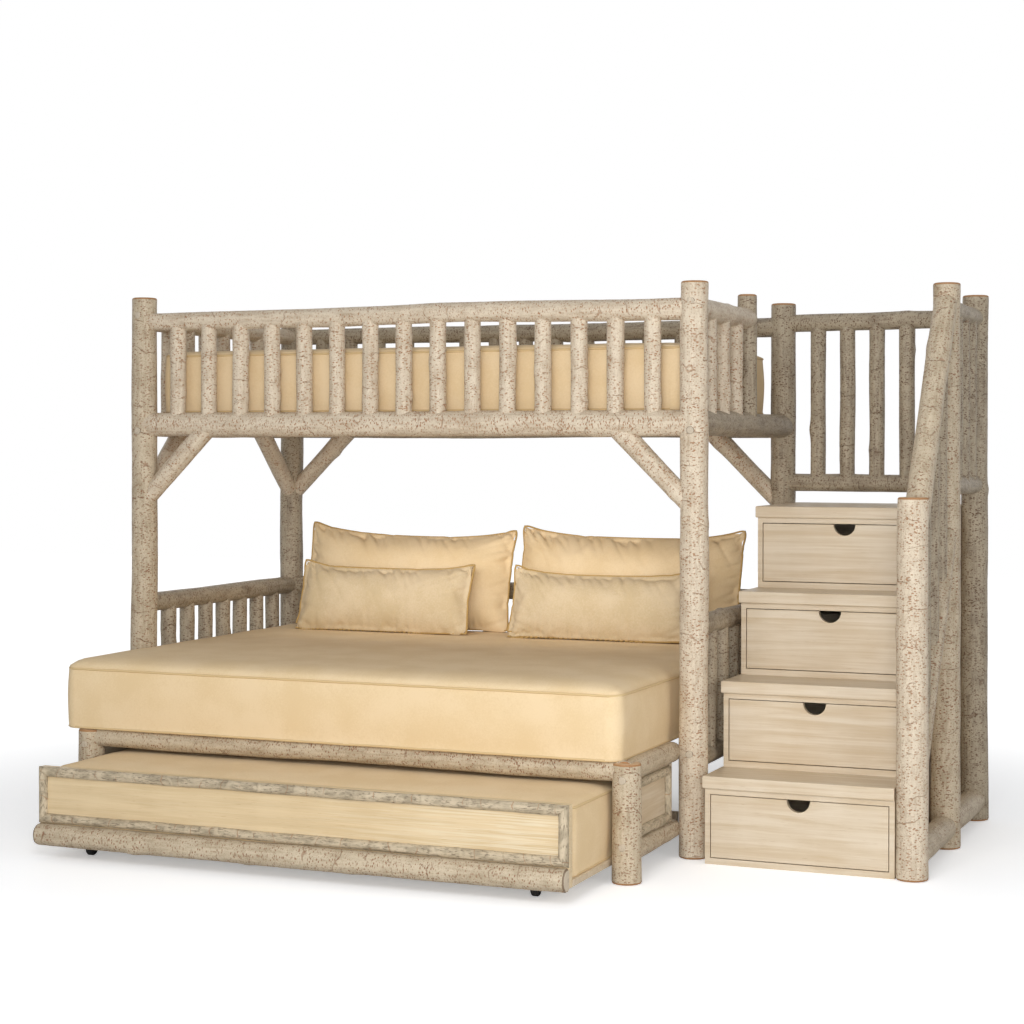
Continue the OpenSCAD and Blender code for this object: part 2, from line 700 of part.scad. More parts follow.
// Knife-edged pillow: full in the middle, edges drawn in between pointed corners, a flat welt
// all round. It stands on its lower edge in the XZ plane before it is leant back. The top edge
// sags between its ears by a share of the height, and its right end slumps by another.
pillow_steps = 14;
function ease(i) = sin(90 * (2 * i / pillow_steps - 1));
module pillow_form(w, h, t, sag, slump) {
    draw_x = 0.045;
    draw_foot = 0.03;
    blunt = 0.025;
    n = pillow_steps + 1;
    side_points = function (s) [
        for (j = [0:pillow_steps])
            for (i = [0:pillow_steps])
                let (u = ease(i), v = ease(j))
                    [w / 2 * u * (1 - draw_x * (1 - v * v)) * (1 - blunt * pow(u * v, 8)),
                     s * (welt / 2 + (t - welt) / 2 * pow(max((1 - u * u) * (1 - v * v), 0), 0.42)),
                     h / 2 * v * (1 - (v > 0 ? sag : draw_foot) * (1 - u * u) - (v > 0 ? slump * (1 + u) / 2 : 0))]
    ];
    cell = function (i, j, o) o + j * n + i;
    m = n * n;
    front = [for (j = [0:pillow_steps - 1]) for (i = [0:pillow_steps - 1])
        each [[cell(i, j, 0), cell(i + 1, j + 1, 0), cell(i + 1, j, 0)],
              [cell(i, j, 0), cell(i, j + 1, 0), cell(i + 1, j + 1, 0)]]];
    back = [for (j = [0:pillow_steps - 1]) for (i = [0:pillow_steps - 1])
        each [[cell(i, j, m), cell(i + 1, j, m), cell(i + 1, j + 1, m)],
              [cell(i, j, m), cell(i + 1, j + 1, m), cell(i, j + 1, m)]]];
    last = pillow_steps;
    edge = [for (i = [0:pillow_steps - 1])
        each [[cell(i, 0, 0), cell(i + 1, 0, 0), cell(i + 1, 0, m)],
              [cell(i, 0, 0), cell(i + 1, 0, m), cell(i, 0, m)],
              [cell(i, last, 0), cell(i, last, m), cell(i + 1, last, m)],
              [cell(i, last, 0), cell(i + 1, last, m), cell(i + 1, last, 0)],
              [cell(0, i, 0), cell(0, i, m), cell(0, i + 1, m)],
              [cell(0, i, 0), cell(0, i + 1, m), cell(0, i + 1, 0)],
              [cell(last, i, 0), cell(last, i + 1, 0), cell(last, i + 1, m)],
              [cell(last, i, 0), cell(last, i + 1, m), cell(last, i, m)]]];
    polyhedron(concat(side_points(-1), side_points(1)), concat(front, back, edge));
}

// Pillows stand on the crown of the lower mattress and lean back
big_lean = 14;
small_lean = 18;
pillow_floor = lower_mattress_z + lower_mattress_h + lower_crown + rest;
big_pillow_y = y_rear - low_rail_r - big_pillow_t / 2 + 13;
small_pillow_y = big_pillow_y - big_pillow_t / 2 - small_pillow_t / 2 - 24;
module leaning_pillow(x, y, w, h, t, lean, sag, slump) {
    translate([x, y, pillow_floor + h / 2 * cos(lean) + welt / 2 * sin(lean)])
        rotate([-lean, 0, 0])
            pillow_form(w, h, t, sag, slump);
}
big_pillow_w = (post_span_x - pillow_end_left - pillow_end_right - pillow_gap) / 2;
big_pillow_left_x = x_left + pillow_end_left + big_pillow_w / 2;
big_pillow_right_x = x_right - pillow_end_right - big_pillow_w / 2;
small_pillow_left_x = big_pillow_left_x - 12;
small_pillow_right_x = big_pillow_right_x - 32;
module big_pillow(x, sag, slump) {
    leaning_pillow(x, big_pillow_y, big_pillow_w, big_pillow_h, big_pillow_t, big_lean, sag, slump);
}
module small_pillow(x, sag, slump) {
    leaning_pillow(x, small_pillow_y, small_pillow_w, small_pillow_h, small_pillow_t, small_lean, sag, slump);
}
module pillow_large_left() color(cloth) placed() big_pillow(big_pillow_left_x, 0.25, 0.12);
module pillow_large_right() color(cloth) placed() big_pillow(big_pillow_right_x, 0.25, 0.05);
module pillow_small_left() color(cloth_small) placed() small_pillow(small_pillow_left_x, 0.12, 0);
module pillow_small_right() color(cloth_small) placed() small_pillow(small_pillow_right_x, 0.22, 0);

// Trundle: a deck with a low board at its rear, a framed front with a log along its foot, and
// four casters
tray_y0 = trundle_y0 + trundle_board;
curb_h = 34;
curb_t = 19;
module trundle_tray() color(birch) placed() {
    translate([trundle_x0, tray_y0, deck_z])
        cube([trundle_w, trundle_y1 - tray_y0, deck_t]);
    translate([trundle_x0, trundle_y1 - curb_t, deck_z])
        cube([trundle_w, curb_t, deck_t + curb_h]);
}
module trundle_front() color(birch) placed()
    translate([trundle_x0, trundle_y0, deck_z])
        cube([trundle_w, trundle_board, trundle_top_z - deck_z]);
module trundle_moulding() color(bark) placed()
    translate([trundle_x0, trundle_y0 - seat, trundle_log_z + trundle_log_r + 1])
        rotate([90, 0, 0])
            moulding_frame(trundle_w, trundle_top_z - trundle_log_z - trundle_log_r - 1, moulding_r);
module trundle_log() color(bark) placed()
    difference() {
        log_between([trundle_x0, trundle_y0 - trundle_log_out, trundle_log_z],
                    [trundle_x1, trundle_y0 - trundle_log_out, trundle_log_z], trundle_log_r);
        translate([trundle_x0 - 1, trundle_y0 - seat, 0])
            cube([trundle_w + 2, 2 * trundle_log_r, 4 * trundle_log_r]);
    }
trundle_mattress_gap = 5;
module trundle_mattress() color(cloth) placed()
    translate([(trundle_x0 + trundle_x1) / 2, (tray_y0 + trundle_y1 - curb_t) / 2, deck_z + deck_t])
        mattress_form(trundle_w - 2 * trundle_mattress_gap,
                      trundle_y1 - curb_t - tray_y0 - 2 * trundle_mattress_gap,
                      trundle_mattress_h, crown);

// Fixed casters: a plate under the deck, two cheeks and an axle, and a wheel with a bore
caster_inset_x = 133;
caster_inset_y = 86;
cheek_t = 2.5;
plate_t = 2.5;
caster_xs = [trundle_x0 + caster_inset_x, trundle_x1 - caster_inset_x];
caster_ys = [trundle_y0 + caster_inset_y, trundle_y1 - caster_inset_y];
wheel_side_gap = 1;
module fork(x, y) {
    half = wheel_w / 2 + wheel_side_gap;
    translate([x, y, 0]) {
        translate([-half - 16, -28, deck_z - plate_t]) cube([2 * half + 32, 56, plate_t]);
        for (side = [-1, 1])
            translate([side > 0 ? half : -half - cheek_t, 0, 0])
                rotate([90, 0, 90])
                    linear_extrude(cheek_t)
                        polygon([[-8, wheel_r - 8], [8, wheel_r - 8], [18, deck_z - plate_t], [-18, deck_z - plate_t]]);
        translate([-half - cheek_t - 2, 0, wheel_r])
            rotate([0, 90, 0])
                cylinder(h = 2 * (half + cheek_t + 2), r = axle_r);
    }
}
module caster_forks() color("#55565a") placed()
    for (x = caster_xs, y = caster_ys) fork(x, y);
module wheel(x, y) {
    translate([x - wheel_w / 2, y, wheel_r])
        rotate([0, 90, 0])
            rotate_extrude()
                polygon([[axle_r + axle_gap, 0], [wheel_r - 7, 0], [wheel_r - 6, 1.5], [wheel_r - 3, 1.5],
                         [wheel_r, 4.5], [wheel_r, wheel_w - 4.5], [wheel_r - 3, wheel_w - 1.5],
                         [wheel_r - 6, wheel_w - 1.5], [wheel_r - 7, wheel_w], [axle_r + axle_gap, wheel_w]]);
}
module wheel_front_left() color(iron) placed() wheel(caster_xs[0], caster_ys[0]);
module wheel_front_right() color(iron) placed() wheel(caster_xs[1], caster_ys[0]);
module wheel_rear_left() color(iron) placed() wheel(caster_xs[0], caster_ys[1]);
module wheel_rear_right() color(iron) placed() wheel(caster_xs[1], caster_ys[1]);

// Step boxes: stepped sides, shelves under the drawers, rails over them and a back
side_outline = concat(
    [for (i = [0:steps - 1]) each [[step_y(i), i == 0 ? 0 : i * rise - tread_t], [step_y(i), (i + 1) * rise - tread_t]]],
    [[stair_y1, steps * rise - tread_t], [stair_y1, 0]]
);
module stair_side(x) {
    translate([x, 0, 0])
        rotate([90, 0, 90])
            linear_extrude(side_t)
                polygon(side_outline);
}
inner_w = stair_w - 2 * side_t;
module stair_carcass() color(birch) placed() {
    stair_side(stair_x0);
    stair_side(stair_x1 - side_t);
    for (i = [0:steps - 1]) {
        translate([stair_x0 + side_t, step_y(i), i * rise])
            cube([inner_w, stair_y1 - step_y(i), shelf_t]);
        translate([stair_x0 + side_t, step_y(i), (i + 1) * rise - tread_t - drawer_rail_h])
            cube([inner_w, 60, drawer_rail_h]);
    }
    translate([stair_x0 + side_t, stair_y1 - shelf_t, 0])
        cube([inner_w, shelf_t, steps * rise - tread_t]);
}

// Treads with rounded front and left edges
tread_round = 4;
module nosed_outline(w, h) {
    translate([tread_round, 0]) square([w - tread_round, h]);
    translate([0, tread_round]) square([w, h - 2 * tread_round]);
    for (y = [tread_round, h - tread_round]) translate([tread_round, y]) circle(r = tread_round);
}
module tread(i) {
    back = i == steps - 1 ? stair_y1 : step_y(i + 1);
    front = step_y(i) - tread_nose;
    left = stair_x0 - tread_side;
    translate([left, front, (i + 1) * rise - tread_t])
        intersection() {
            rotate([90, 0, 90])
                linear_extrude(stair_x1 - left)
                    nosed_outline(back - front, tread_t);
            translate([0, back - front, 0])
                rotate([90, 0, 0])
                    linear_extrude(back - front)
                        nosed_outline(stair_x1 - left, tread_t);
        }
}
module stair_treads() color(birch) placed() for (i = [0:steps - 1]) tread(i);

// Drawer: a front with a half-round finger notch, and a box that slides on the shelf below it
drawer_front_h = rise - tread_t - drawer_rail_h - shelf_t - 2 * drawer_gap;
drawer_w = inner_w - 2 * drawer_gap;
box_inset = 3;
box_bottom_t = 8;
module drawer(i) {
    x0 = stair_x0 + side_t + drawer_gap;
    y0 = step_y(i);
    shelf = i * rise + shelf_t;
    box_x0 = x0 + box_inset;
    box_w = drawer_w - 2 * box_inset;
    box_z = shelf + drawer_lift;
    difference() {
        translate([x0, y0, shelf + drawer_gap])
            cube([drawer_w, drawer_front_t, drawer_front_h]);
        translate([x0 + drawer_w / 2, y0 - 1, shelf + drawer_gap + drawer_front_h])
            rotate([-90, 0, 0])
                cylinder(h = drawer_front_t + 2, r = notch_r);
    }
    for (x = [box_x0, box_x0 + box_w - drawer_side_t])
        translate([x, y0 + drawer_front_t, box_z])
            cube([drawer_side_t, drawer_depth - drawer_front_t, drawer_side_h]);
    translate([box_x0, y0 + drawer_depth - drawer_side_t, box_z])
        cube([box_w, drawer_side_t, drawer_side_h]);
    translate([box_x0, y0 + drawer_front_t, box_z + 6])
        cube([box_w, drawer_depth - drawer_front_t, box_bottom_t]);
}
module drawer_1() color(birch) placed() drawer(0);
module drawer_2() color(birch) placed() drawer(1);
module drawer_3() color(birch) placed() drawer(2);
module drawer_4() color(birch) placed() drawer(3);

// Rail posts that stand against the right side of the step boxes
module newel_post() color(bark) placed() rail_post(newel_y, newel_h);
module tall_post() color(bark) placed() rail_post(tall_y, tall_post_h);
module rear_stair_post() color(bark_dark) placed() rail_post(rear_y, rear_post_h);
module rail_post_copes() {
    rail_post(newel_y, newel_h, seat);
    rail_post(tall_y, tall_post_h, seat);
    rail_post(rear_y, rear_post_h, seat);
}

// Sloping rails beside the steps and the rails at the foot of the posts
module handrail(grow = 0) {
    log_between([rail_x, newel_y, handrail_low_z], [rail_x, tall_y, handrail_high_z], handrail_r, grow);
}
module slope_rail(grow = 0) {
    log_between([rail_x, newel_y, slope_low_z], [rail_x, tall_y, slope_high_z], slope_r, grow);
}
module base_rail(y0, y1, grow = 0) {
    log_between([rail_x, y0, base_rail_z], [rail_x, y1, base_rail_z], base_rail_r, grow);
}
module stair_rails() color(bark) placed() {
    difference() {
        handrail();
        rail_post_copes();
    }
    difference() {
        slope_rail();
        rail_post_copes();
        base_rail(newel_y, tall_y, seat);
    }
    difference() {
        base_rail(newel_y, tall_y);
        rail_post_copes();
    }
    difference() {
        base_rail(tall_y, rear_y);
        rail_post_copes();
    }
}

// Landing rails: along the side from the tall post, and along the rear from the bunk post
module side_landing_log(z, grow = 0) {
    log_between([rail_x, tall_y, z], [rail_x, rear_y, z], landing_rail_r, grow);
}
module rear_landing_log(z, grow = 0) {
    log_between([x_right, y_rear, z], [rail_x, rear_y, z], landing_rail_r, grow);
}
module landing_rails() color(bark_dark) placed() {
    for (z = [landing_low_z, landing_top_z]) {
        difference() {
            rear_landing_log(z);
            post_copes();
            rail_post_copes();
        }
        difference() {
            side_landing_log(z);
            rail_post_copes();
            rear_landing_log(z, seat);
        }
    }
}

// Balusters beside the steps and round the landing
module stair_baluster(y) {
    low = slope_low_z + (slope_high_z - slope_low_z) * (y - newel_y) / tall_post_step;
    high = handrail_low_z + (handrail_high_z - handrail_low_z) * (y - newel_y) / tall_post_step;
    difference() {
        log_between([rail_x, y, low], [rail_x, y, high], baluster_r);
        slope_rail(seat);
        handrail(seat);
    }
}
module stair_baluster_set() color(bark) placed() {
    for (y = spread(newel_y, tall_y, stair_balusters)) stair_baluster(y);
    for (y = spread(tall_y, rear_y, side_balusters))
        difference() {
            log_between([rail_x, y, landing_low_z], [rail_x, y, landing_top_z], baluster_r);
            side_landing_log(landing_low_z, seat);
            side_landing_log(landing_top_z, seat);
        }
    for (x = spread_within(x_right, rail_x, rear_balusters, landing_margin)) {
        y = y_rear + (rear_y - y_rear) * (x - x_right) / (rail_x - x_right);
        difference() {
            log_between([x, y, landing_low_z], [x, y, landing_top_z], baluster_r);
            rear_landing_log(landing_low_z, seat);
            rear_landing_log(landing_top_z, seat);
        }
    }
}

// Wooden plugs over the bolts, proud of the bark by a little
plug_proud = 1;
module plug(x, y, z, r) {
    translate([x, y - r + plug_depth, z])
        rotate([90, 0, 0])
            cylinder(h = plug_depth + plug_proud, d = plug_d - 2 * seat);
}
module wood_plugs() color("#c2a98c") placed() {
    for (x = [x_left, x_right], z = post_plug_zs) plug(x, y_front, z, post_r_at(z));
    for (x = [leg_x_left, leg_x_right], z = leg_plug_zs) plug(x, leg_axis_y, z, leg_r - z / leg_h);
}

post_front_left();
post_front_right();
post_rear_left();
post_rear_right();
guard_post();
bunk_rail_front();
bunk_rail_rear();
bunk_rail_left();
bunk_rail_right();
guard_rail_front();
guard_rail_rear();
guard_rail_left();
guard_rail_right();
balusters_front();
balusters_rear();
balusters_ends();
braces();
bunk_slats();
bed_slats();
slat_ledgers();
upper_mattress();
leg_left();
leg_right();
bed_rail_front();
bed_side_rails();
bed_side_panels();
bed_side_mouldings();
low_rail_left();
low_rail_right();
low_rail_rear();
sill_rails();
low_balusters();
lower_mattress();
pillow_large_left();
pillow_large_right();
pillow_small_left();
pillow_small_right();
trundle_tray();
trundle_front();
trundle_moulding();
trundle_log();
trundle_mattress();
caster_forks();
wheel_front_left();
wheel_front_right();
wheel_rear_left();
wheel_rear_right();
stair_carcass();
stair_treads();
drawer_1();
drawer_2();
drawer_3();
drawer_4();
newel_post();
tall_post();
rear_stair_post();
stair_rails();
landing_rails();
stair_baluster_set();
wood_plugs();
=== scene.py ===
import math
import random
from functools import partial, reduce

import bmesh
import bpy
from bpy.props import FloatProperty, FloatVectorProperty, IntProperty, PointerProperty
from mathutils import Matrix, Vector, noise


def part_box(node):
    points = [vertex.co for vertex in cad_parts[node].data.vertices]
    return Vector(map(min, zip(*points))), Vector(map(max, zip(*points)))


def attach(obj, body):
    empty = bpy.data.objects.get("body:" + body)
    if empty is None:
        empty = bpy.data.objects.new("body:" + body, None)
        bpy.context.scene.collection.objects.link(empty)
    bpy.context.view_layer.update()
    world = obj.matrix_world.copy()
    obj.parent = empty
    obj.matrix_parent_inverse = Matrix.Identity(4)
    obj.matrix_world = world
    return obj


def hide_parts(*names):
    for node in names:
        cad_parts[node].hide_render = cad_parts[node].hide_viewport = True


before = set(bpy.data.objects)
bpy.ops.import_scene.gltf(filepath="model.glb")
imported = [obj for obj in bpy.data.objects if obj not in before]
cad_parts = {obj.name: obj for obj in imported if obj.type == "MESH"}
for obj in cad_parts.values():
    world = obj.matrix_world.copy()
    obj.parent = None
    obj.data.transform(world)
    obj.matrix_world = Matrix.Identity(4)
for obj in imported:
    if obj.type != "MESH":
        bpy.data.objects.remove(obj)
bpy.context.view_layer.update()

bl_info = {
    "name": "Log bunk bed",
    "version": (1, 0, 0),
    "blender": (4, 5, 0),
    "location": "View3D > Sidebar > Bunk bed",
    "description": "Dresses the log bunk bed, its steps, trundle, mattresses and pillows",
    "category": "Object",
}


def middle(node):
    low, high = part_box(node)
    return (low + high) / 2


foot_low, foot_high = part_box("post_front_right")
# The front right post stands on this point, and the bed is measured from it
CORNER = Vector(((foot_low.x + foot_high.x) / 2, (foot_low.y + foot_high.y) / 2, 0))
# Axes of the four bunk posts
LEFT, RIGHT = middle("post_front_left").x, CORNER.x
FRONT, REAR = CORNER.y, middle("post_rear_left").y
# Doubles closer than this are merged, and what differs by less than a micron is level
MERGE = 0.00002
TINY = 1e-6
# Logs of a smaller radius have fewer faces round them
THIN = 0.029
# A baluster is let this far into its rails, and a bed side rail into its leg
LET_IN = 0.022
RAIL_IN = 0.020
# The low guard at the left reaches this far right of its posts' axis
GUARD_REACH = 0.029


# Sizes, colours and light

def number(name, text, value, **kind):
    return FloatProperty(name=name, description=text, default=value, **kind)


def length(name, text, value):
    return number(name, text, value, unit="LENGTH", subtype="DISTANCE")


def linear(code):
    """Linear colour of an sRGB hex value."""
    parts = [int(code[i:i + 2], 16) / 255 for i in (1, 3, 5)]
    return [c / 12.92 if c <= 0.04045 else ((c + 0.055) / 1.055) ** 2.4 for c in parts]


def colour(name, text, code):
    return FloatVectorProperty(name=name, description=text, default=linear(code), subtype="COLOR",
                               size=3, min=0, max=1)


class LogLook(bpy.types.PropertyGroup):
    ring: length("Ring spacing", "Distance between the rings of a log's mesh", 0.012)
    sides: IntProperty(name="Sides", description="Faces round a thick log", default=40, min=12, max=96)
    lump: length("Lumps", "Height of the broad swellings of a log", 0.0022)
    grit: length("Grit", "Height of the small unevenness of the bark", 0.0005)
    bend: length("Bend", "How far a two metre log wanders from straight", 0.006)
    knot: length("Knots", "Height of the knots", 0.005)
    rim: length("Rim", "Chamfer round a sawn end", 0.0065)


class BedSizes(bpy.types.PropertyGroup):
    brace_reach: length("Brace reach", "From the post's axis to where a brace meets the rail", 0.266)
    brace_more: length("Rear brace", "Extra reach of the brace at the rear right", 0.016)
    brace_radius: length("Brace radius", "Radius of a brace at its foot", 0.031)
    taper: length("Taper", "How much thicker a brace or guard rail is at its other end", 0.003)
    guard_taper: length("Guard taper", "How much thinner the long guard rails are at the left", 0.005)
    handrail_low: length("Handrail foot", "Height of the handrail's axis at the newel", 0.995)
    handrail_high: length("Handrail head", "Height of the handrail's axis at the tall post", 1.754)
    handrail_radius: length("Handrail radius", "Radius of the handrail", 0.037)
    slope_low: length("Lower rail foot", "Height of the lower sloping rail at the newel", 0.261)
    slope_high: length("Lower rail head", "Height of the lower sloping rail at the tall post", 1.021)
    slope_radius: length("Lower rail radius", "Radius of the lower sloping rail", 0.038)
    base_height: length("Base rail height", "Height of the rails at the foot of the step posts", 0.068)
    base_radius: length("Base rail radius", "Radius of the base rails", 0.040)
    landing_low: length("Landing low rail", "Height of the low rail round the landing", 1.148)
    landing_top: length("Landing top rail", "Height of the top rail round the landing", 1.716)
    landing_radius: length("Landing rail radius", "Radius of the landing rails", 0.031)
    guard_post_y: length("Entry post", "Distance of the entry post behind the front posts", 0.592)
    trundle_log_radius: length("Trundle log radius", "Radius of the log along the trundle", 0.0335)
    trundle_log_out: length("Trundle log", "Axis of that log in front of the trundle's face", 0.007)
    moulding: length("Moulding", "Radius of the half-round mouldings", 0.015)


class SoftSizes(bpy.types.PropertyGroup):
    welt: length("Welt", "Radius of the piping on mattresses", 0.0042)
    pillow_welt: length("Pillow welt", "Radius of the piping on pillows", 0.0038)
    corner: length("Corner", "Radius of a mattress's upright corners", 0.048)
    swell: length("Swell", "How far a mattress's sides stand out at half height", 0.005)
    crown: length("Crown", "Rise of the middle of a mattress", 0.018)
    lower_crown: length("Lower crown", "Rise of the middle of the lower mattress", 0.034)
    cell: length("Cell", "Mesh spacing on the mattresses", 0.026)
    big_width: length("Large pillow width", "Width of a large pillow", 0.871)
    big_height: length("Large pillow height", "Height of a large pillow", 0.422)
    big_depth: length("Large pillow depth", "Thickness of a large pillow", 0.190)
    small_width: length("Small pillow width", "Width of a small pillow", 0.720)
    small_height: length("Small pillow height", "Height of a small pillow", 0.287)
    small_depth: length("Small pillow depth", "Thickness of a small pillow", 0.130)
    draw: length("Draw", "How far a pillow's edges draw in between its ears", 0.030)
    sink: length("Sink", "How far the pillows sink into the mattress", 0.007)
    ear: length("Ear", "Radius of a pillow's blunt ears", 0.044)
    big_y: length("Large pillows", "Distance of the large pillows behind the front posts", 0.950)
    small_y: length("Small pillows", "Distance of the small pillows behind the front posts", 0.766)


class Finishes(bpy.types.PropertyGroup):
    bark_pale: colour("Bark, pale", "Whitewashed bark where it is lightest", "#ddcfb9")
    bark_mid: colour("Bark, middle", "Whitewashed bark in its hollows", "#bfad95")
    bark_fleck: colour("Bark flecks", "Lenticels that show through the wash", "#a5734c")
    # Painted shade: these three colours are the front logs' bark made darker for logs that stand in less
    # light: the front left post, the legs, the tall post, the step rails, the bed's front and side rails and
    # the trundle log
    dull_pale: colour("Dull bark, pale", "Less washed bark of legs, tall post and trundle", "#cebfa6")
    dull_mid: colour("Dull bark, middle", "The same bark in its hollows", "#ab9a80")
    dull_fleck: colour("Dull flecks", "Lenticels of the less washed bark", "#8e6041")
    # Painted shade: these three colours are the bark made darker still for the rear logs, the landing and
    # the step balusters, which stand in deeper shade
    shade_pale: colour("Shaded bark, pale", "Greyer bark of the rear logs", "#b8aa93")
    shade_mid: colour("Shaded bark, middle", "Greyer bark in its hollows", "#918370")
    shade_fleck: colour("Shaded flecks", "Lenticels of the rear logs", "#6b4d36")
    sawn: colour("Sawn wood", "Cut ends of the logs", "#dbbb96")
    sawn_rim: colour("Sawn rim", "Scorched edge of a cut end", "#a67a50")
    plug_rim: colour("Plug rim", "Dark line round a wooden plug", "#7d6a55")
    maple_pale: colour("Maple, pale", "Lightest grain of the boards", "#dccdb6")
    maple_dark: colour("Maple, dark", "Darkest grain of the boards", "#cab596")
    panel_pale: colour("Panel, pale", "Lightest grain of the trundle's panel", "#dfc8a0")
    panel_dark: colour("Panel, dark", "Darkest grain of the trundle's panel", "#d0b78d")
    twig_pale: colour("Sapling, pale", "Washed nodes of the mouldings", "#cbbba0")
    twig_mid: colour("Sapling, middle", "Grey bark of the mouldings", "#a99b83")
    twig_fleck: colour("Sapling flecks", "Dark flecks along the mouldings", "#7d6f5c")
    figure_pale: colour("Figured maple", "White streaks of the trundle panel", "#e6dabf")
    canvas: colour("Canvas", "Golden cotton of the mattresses", "#ecd4ad")
    canvas_low: colour("Canvas, low", "The same cotton in its hollows", "#e5cba0")
    # Painted shade: the mattresses' piping is darker than their canvas to draw the shaded line along the
    # seams
    piping: colour("Piping", "Cord sewn into the mattresses' seams", "#d9be90")
    # The pillows' piping is darker than their cloth: partly the cord's own colour, partly painted shade for
    # the shadow line along the seam
    golden: colour("Golden piping", "Satin cord round the pillows", "#b8975f")
    linen: colour("Linen", "Duller cotton of the small pillows", "#d8c4a3")
    linen_low: colour("Linen, low", "The same cotton in its hollows", "#cdb893")
    rubber: colour("Rubber", "Caster tyres", "#141416")
    steel: colour("Steel", "Caster forks", "#4a4a4e")


class Studio(bpy.types.PropertyGroup):
    camera_place: FloatVectorProperty(name="Camera", description="Camera, from the front right post",
                                      default=(1.8898, -6.0464, 1.2718), subtype="XYZ", unit="LENGTH")
    turn: number("Turn", "Camera's turn to the left", math.radians(22.4769), subtype="ANGLE")
    pitch: number("Pitch", "Camera's tilt below level", math.radians(0.2518), subtype="ANGLE")
    roll: number("Roll", "Camera's roll", math.radians(0.1041), subtype="ANGLE")
    focal: number("Focal length", "Lens, in mm on a 36 mm sensor", 71.51)
    shift: number("Shift", "Upward shift of the lens", -0.0545)
    key: number("Key light", "Power of the light beside the camera, in watts", 61)
    fill: number("Fill light", "Power of the light on the left, in watts", 20)
    front: number("Front light", "Power of the light in front, in watts", 24)
    high: number("High light", "Power of the light above the bunk, in watts", 60)
    side: number("Side light", "Power of the light on the right, in watts", 33)
    inner: number("Inner light", "Power of the light under the bunk, in watts", 1.5)
    sky: number("Sky", "Strength of the light from all round", 0.36)


# Materials

# Kinds of node: type, settings, inputs in the order that add takes their values, and usual output.
# A Mix node has its colour sockets at 6, 7 and 2, and its vector sockets at 4, 5 and 1.
NODES = {
    "coordinate": ("TexCoord", {}, (), "Object"),
    "attribute": ("Attribute", {}, (), "Vector"),
    "ray": ("LightPath", {}, (), "Is Camera Ray"),
    "parts": ("SeparateXYZ", {}, (0,), "X"),
    "join": ("CombineXYZ", {}, (0, 1, 2), 0),
    "channels": ("SeparateColor", {}, (0,), 0),
    "distance": ("VectorMath", {"operation": "LENGTH"}, (0,), "Value"),
    "stretch": ("Mapping", {}, ("Vector", "Scale"), 0),
    "noise": ("TexNoise", {}, ("Vector", "Scale", "Detail", "Roughness", "Distortion"), 0),
    "cells": ("TexVoronoi", {}, ("Vector", "Scale"), "Distance"),
    "bands": ("TexWave", {"wave_type": "BANDS"},
              ("Vector", "Scale", "Distortion", "Detail", "Detail Scale"), "Fac"),
    "range": ("MapRange", {"interpolation_type": "SMOOTHSTEP"},
              ("Value", "From Min", "From Max", "To Min", "To Max"), 0),
    "mix": ("Mix", {"data_type": "RGBA"}, (0, 6, 7), 2),
    "swap": ("Mix", {"data_type": "VECTOR"}, (0, 4, 5), 1),
    "bump": ("Bump", {}, ("Height", "Distance", "Strength"), 0),
    "glow": ("Emission", {}, ("Color", "Strength"), 0),
    "backdrop": ("Background", {}, ("Color", "Strength"), 0),
    "blend": ("MixShader", {}, (0, 1, 2), 0),
}
for word in ("ADD", "SUBTRACT", "MULTIPLY", "MAXIMUM", "ABSOLUTE", "FRACT", "SINE", "GREATER_THAN"):
    NODES[word.lower()] = ("Math", {"operation": word}, (0, 1), 0)


def add(tree, kind, *values, out=None, **settings):
    """Adds a node of a kind in NODES, with values or links on its inputs, and gives its output."""
    name, fixed, sockets, usual = NODES[kind]
    node = tree.nodes.new("ShaderNode" + name)
    for key, value in {**fixed, **settings}.items():
        setattr(node, key, value)
    for key, value in zip(sockets, values):
        if isinstance(value, bpy.types.NodeSocket):
            tree.links.new(value, node.inputs[key])
        elif node.inputs[key].type == "RGBA":
            node.inputs[key].default_value = (*value, 1)
        else:
            node.inputs[key].default_value = value
    return node.outputs[usual if out is None else out]


def new_material(name, roughness, settings=None):
    """A material with its constants on the shader's own sockets, and a put that adds nodes to it."""
    material = bpy.data.materials.new(name)
    material.use_nodes = True
    shader = material.node_tree.nodes["Principled BSDF"]
    for key, value in {"Roughness": roughness, **(settings or {})}.items():
        shader.inputs[key].default_value = value
    return material, partial(add, material.node_tree)


def coated(material, base, height=None, depth=0.0, strength=1.0, gloss=None):
    """Gives a material its colour, its relief of that depth in metres and its uneven gloss."""
    tree = material.node_tree
    sockets = tree.nodes["Principled BSDF"].inputs
    tree.links.new(base, sockets["Base Color"])
    if height is not None:
        tree.links.new(add(tree, "bump", height, depth, strength), sockets["Normal"])
    if gloss is not None:
        tree.links.new(gloss, sockets["Roughness"])
    return material


def total(put, *parts):
    """The sum of (value, weight) pairs."""
    return reduce(partial(put, "add"), [put("multiply", *part) for part in parts])


def dashes(put, place, size, low, high, keep):
    """Scattered short dashes across the log. size is 1 / metres round and along it."""
    spot = put("cells", put("stretch", place, (size[0], size[0], size[1])), 1.0)
    pick = put("channels", spot.node.outputs["Color"])
    return put("multiply", put("range", spot, low, high, 1.0, 0.0), put("range", pick, keep, keep + 0.12))


def rings_round(put, place, count, width):
    """Wavy rings round the log, count of them in a metre. width is a share of their spacing."""
    along = put("multiply", put("parts", place, out="Z"), count)
    wavy = put("add", along, put("multiply", put("noise", place, 6, 3, 0.55), 2.0))
    off = put("absolute", put("subtract", put("fract", wavy), 0.5))
    return put("range", off, width * 0.4, width, 1.0, 0.0)


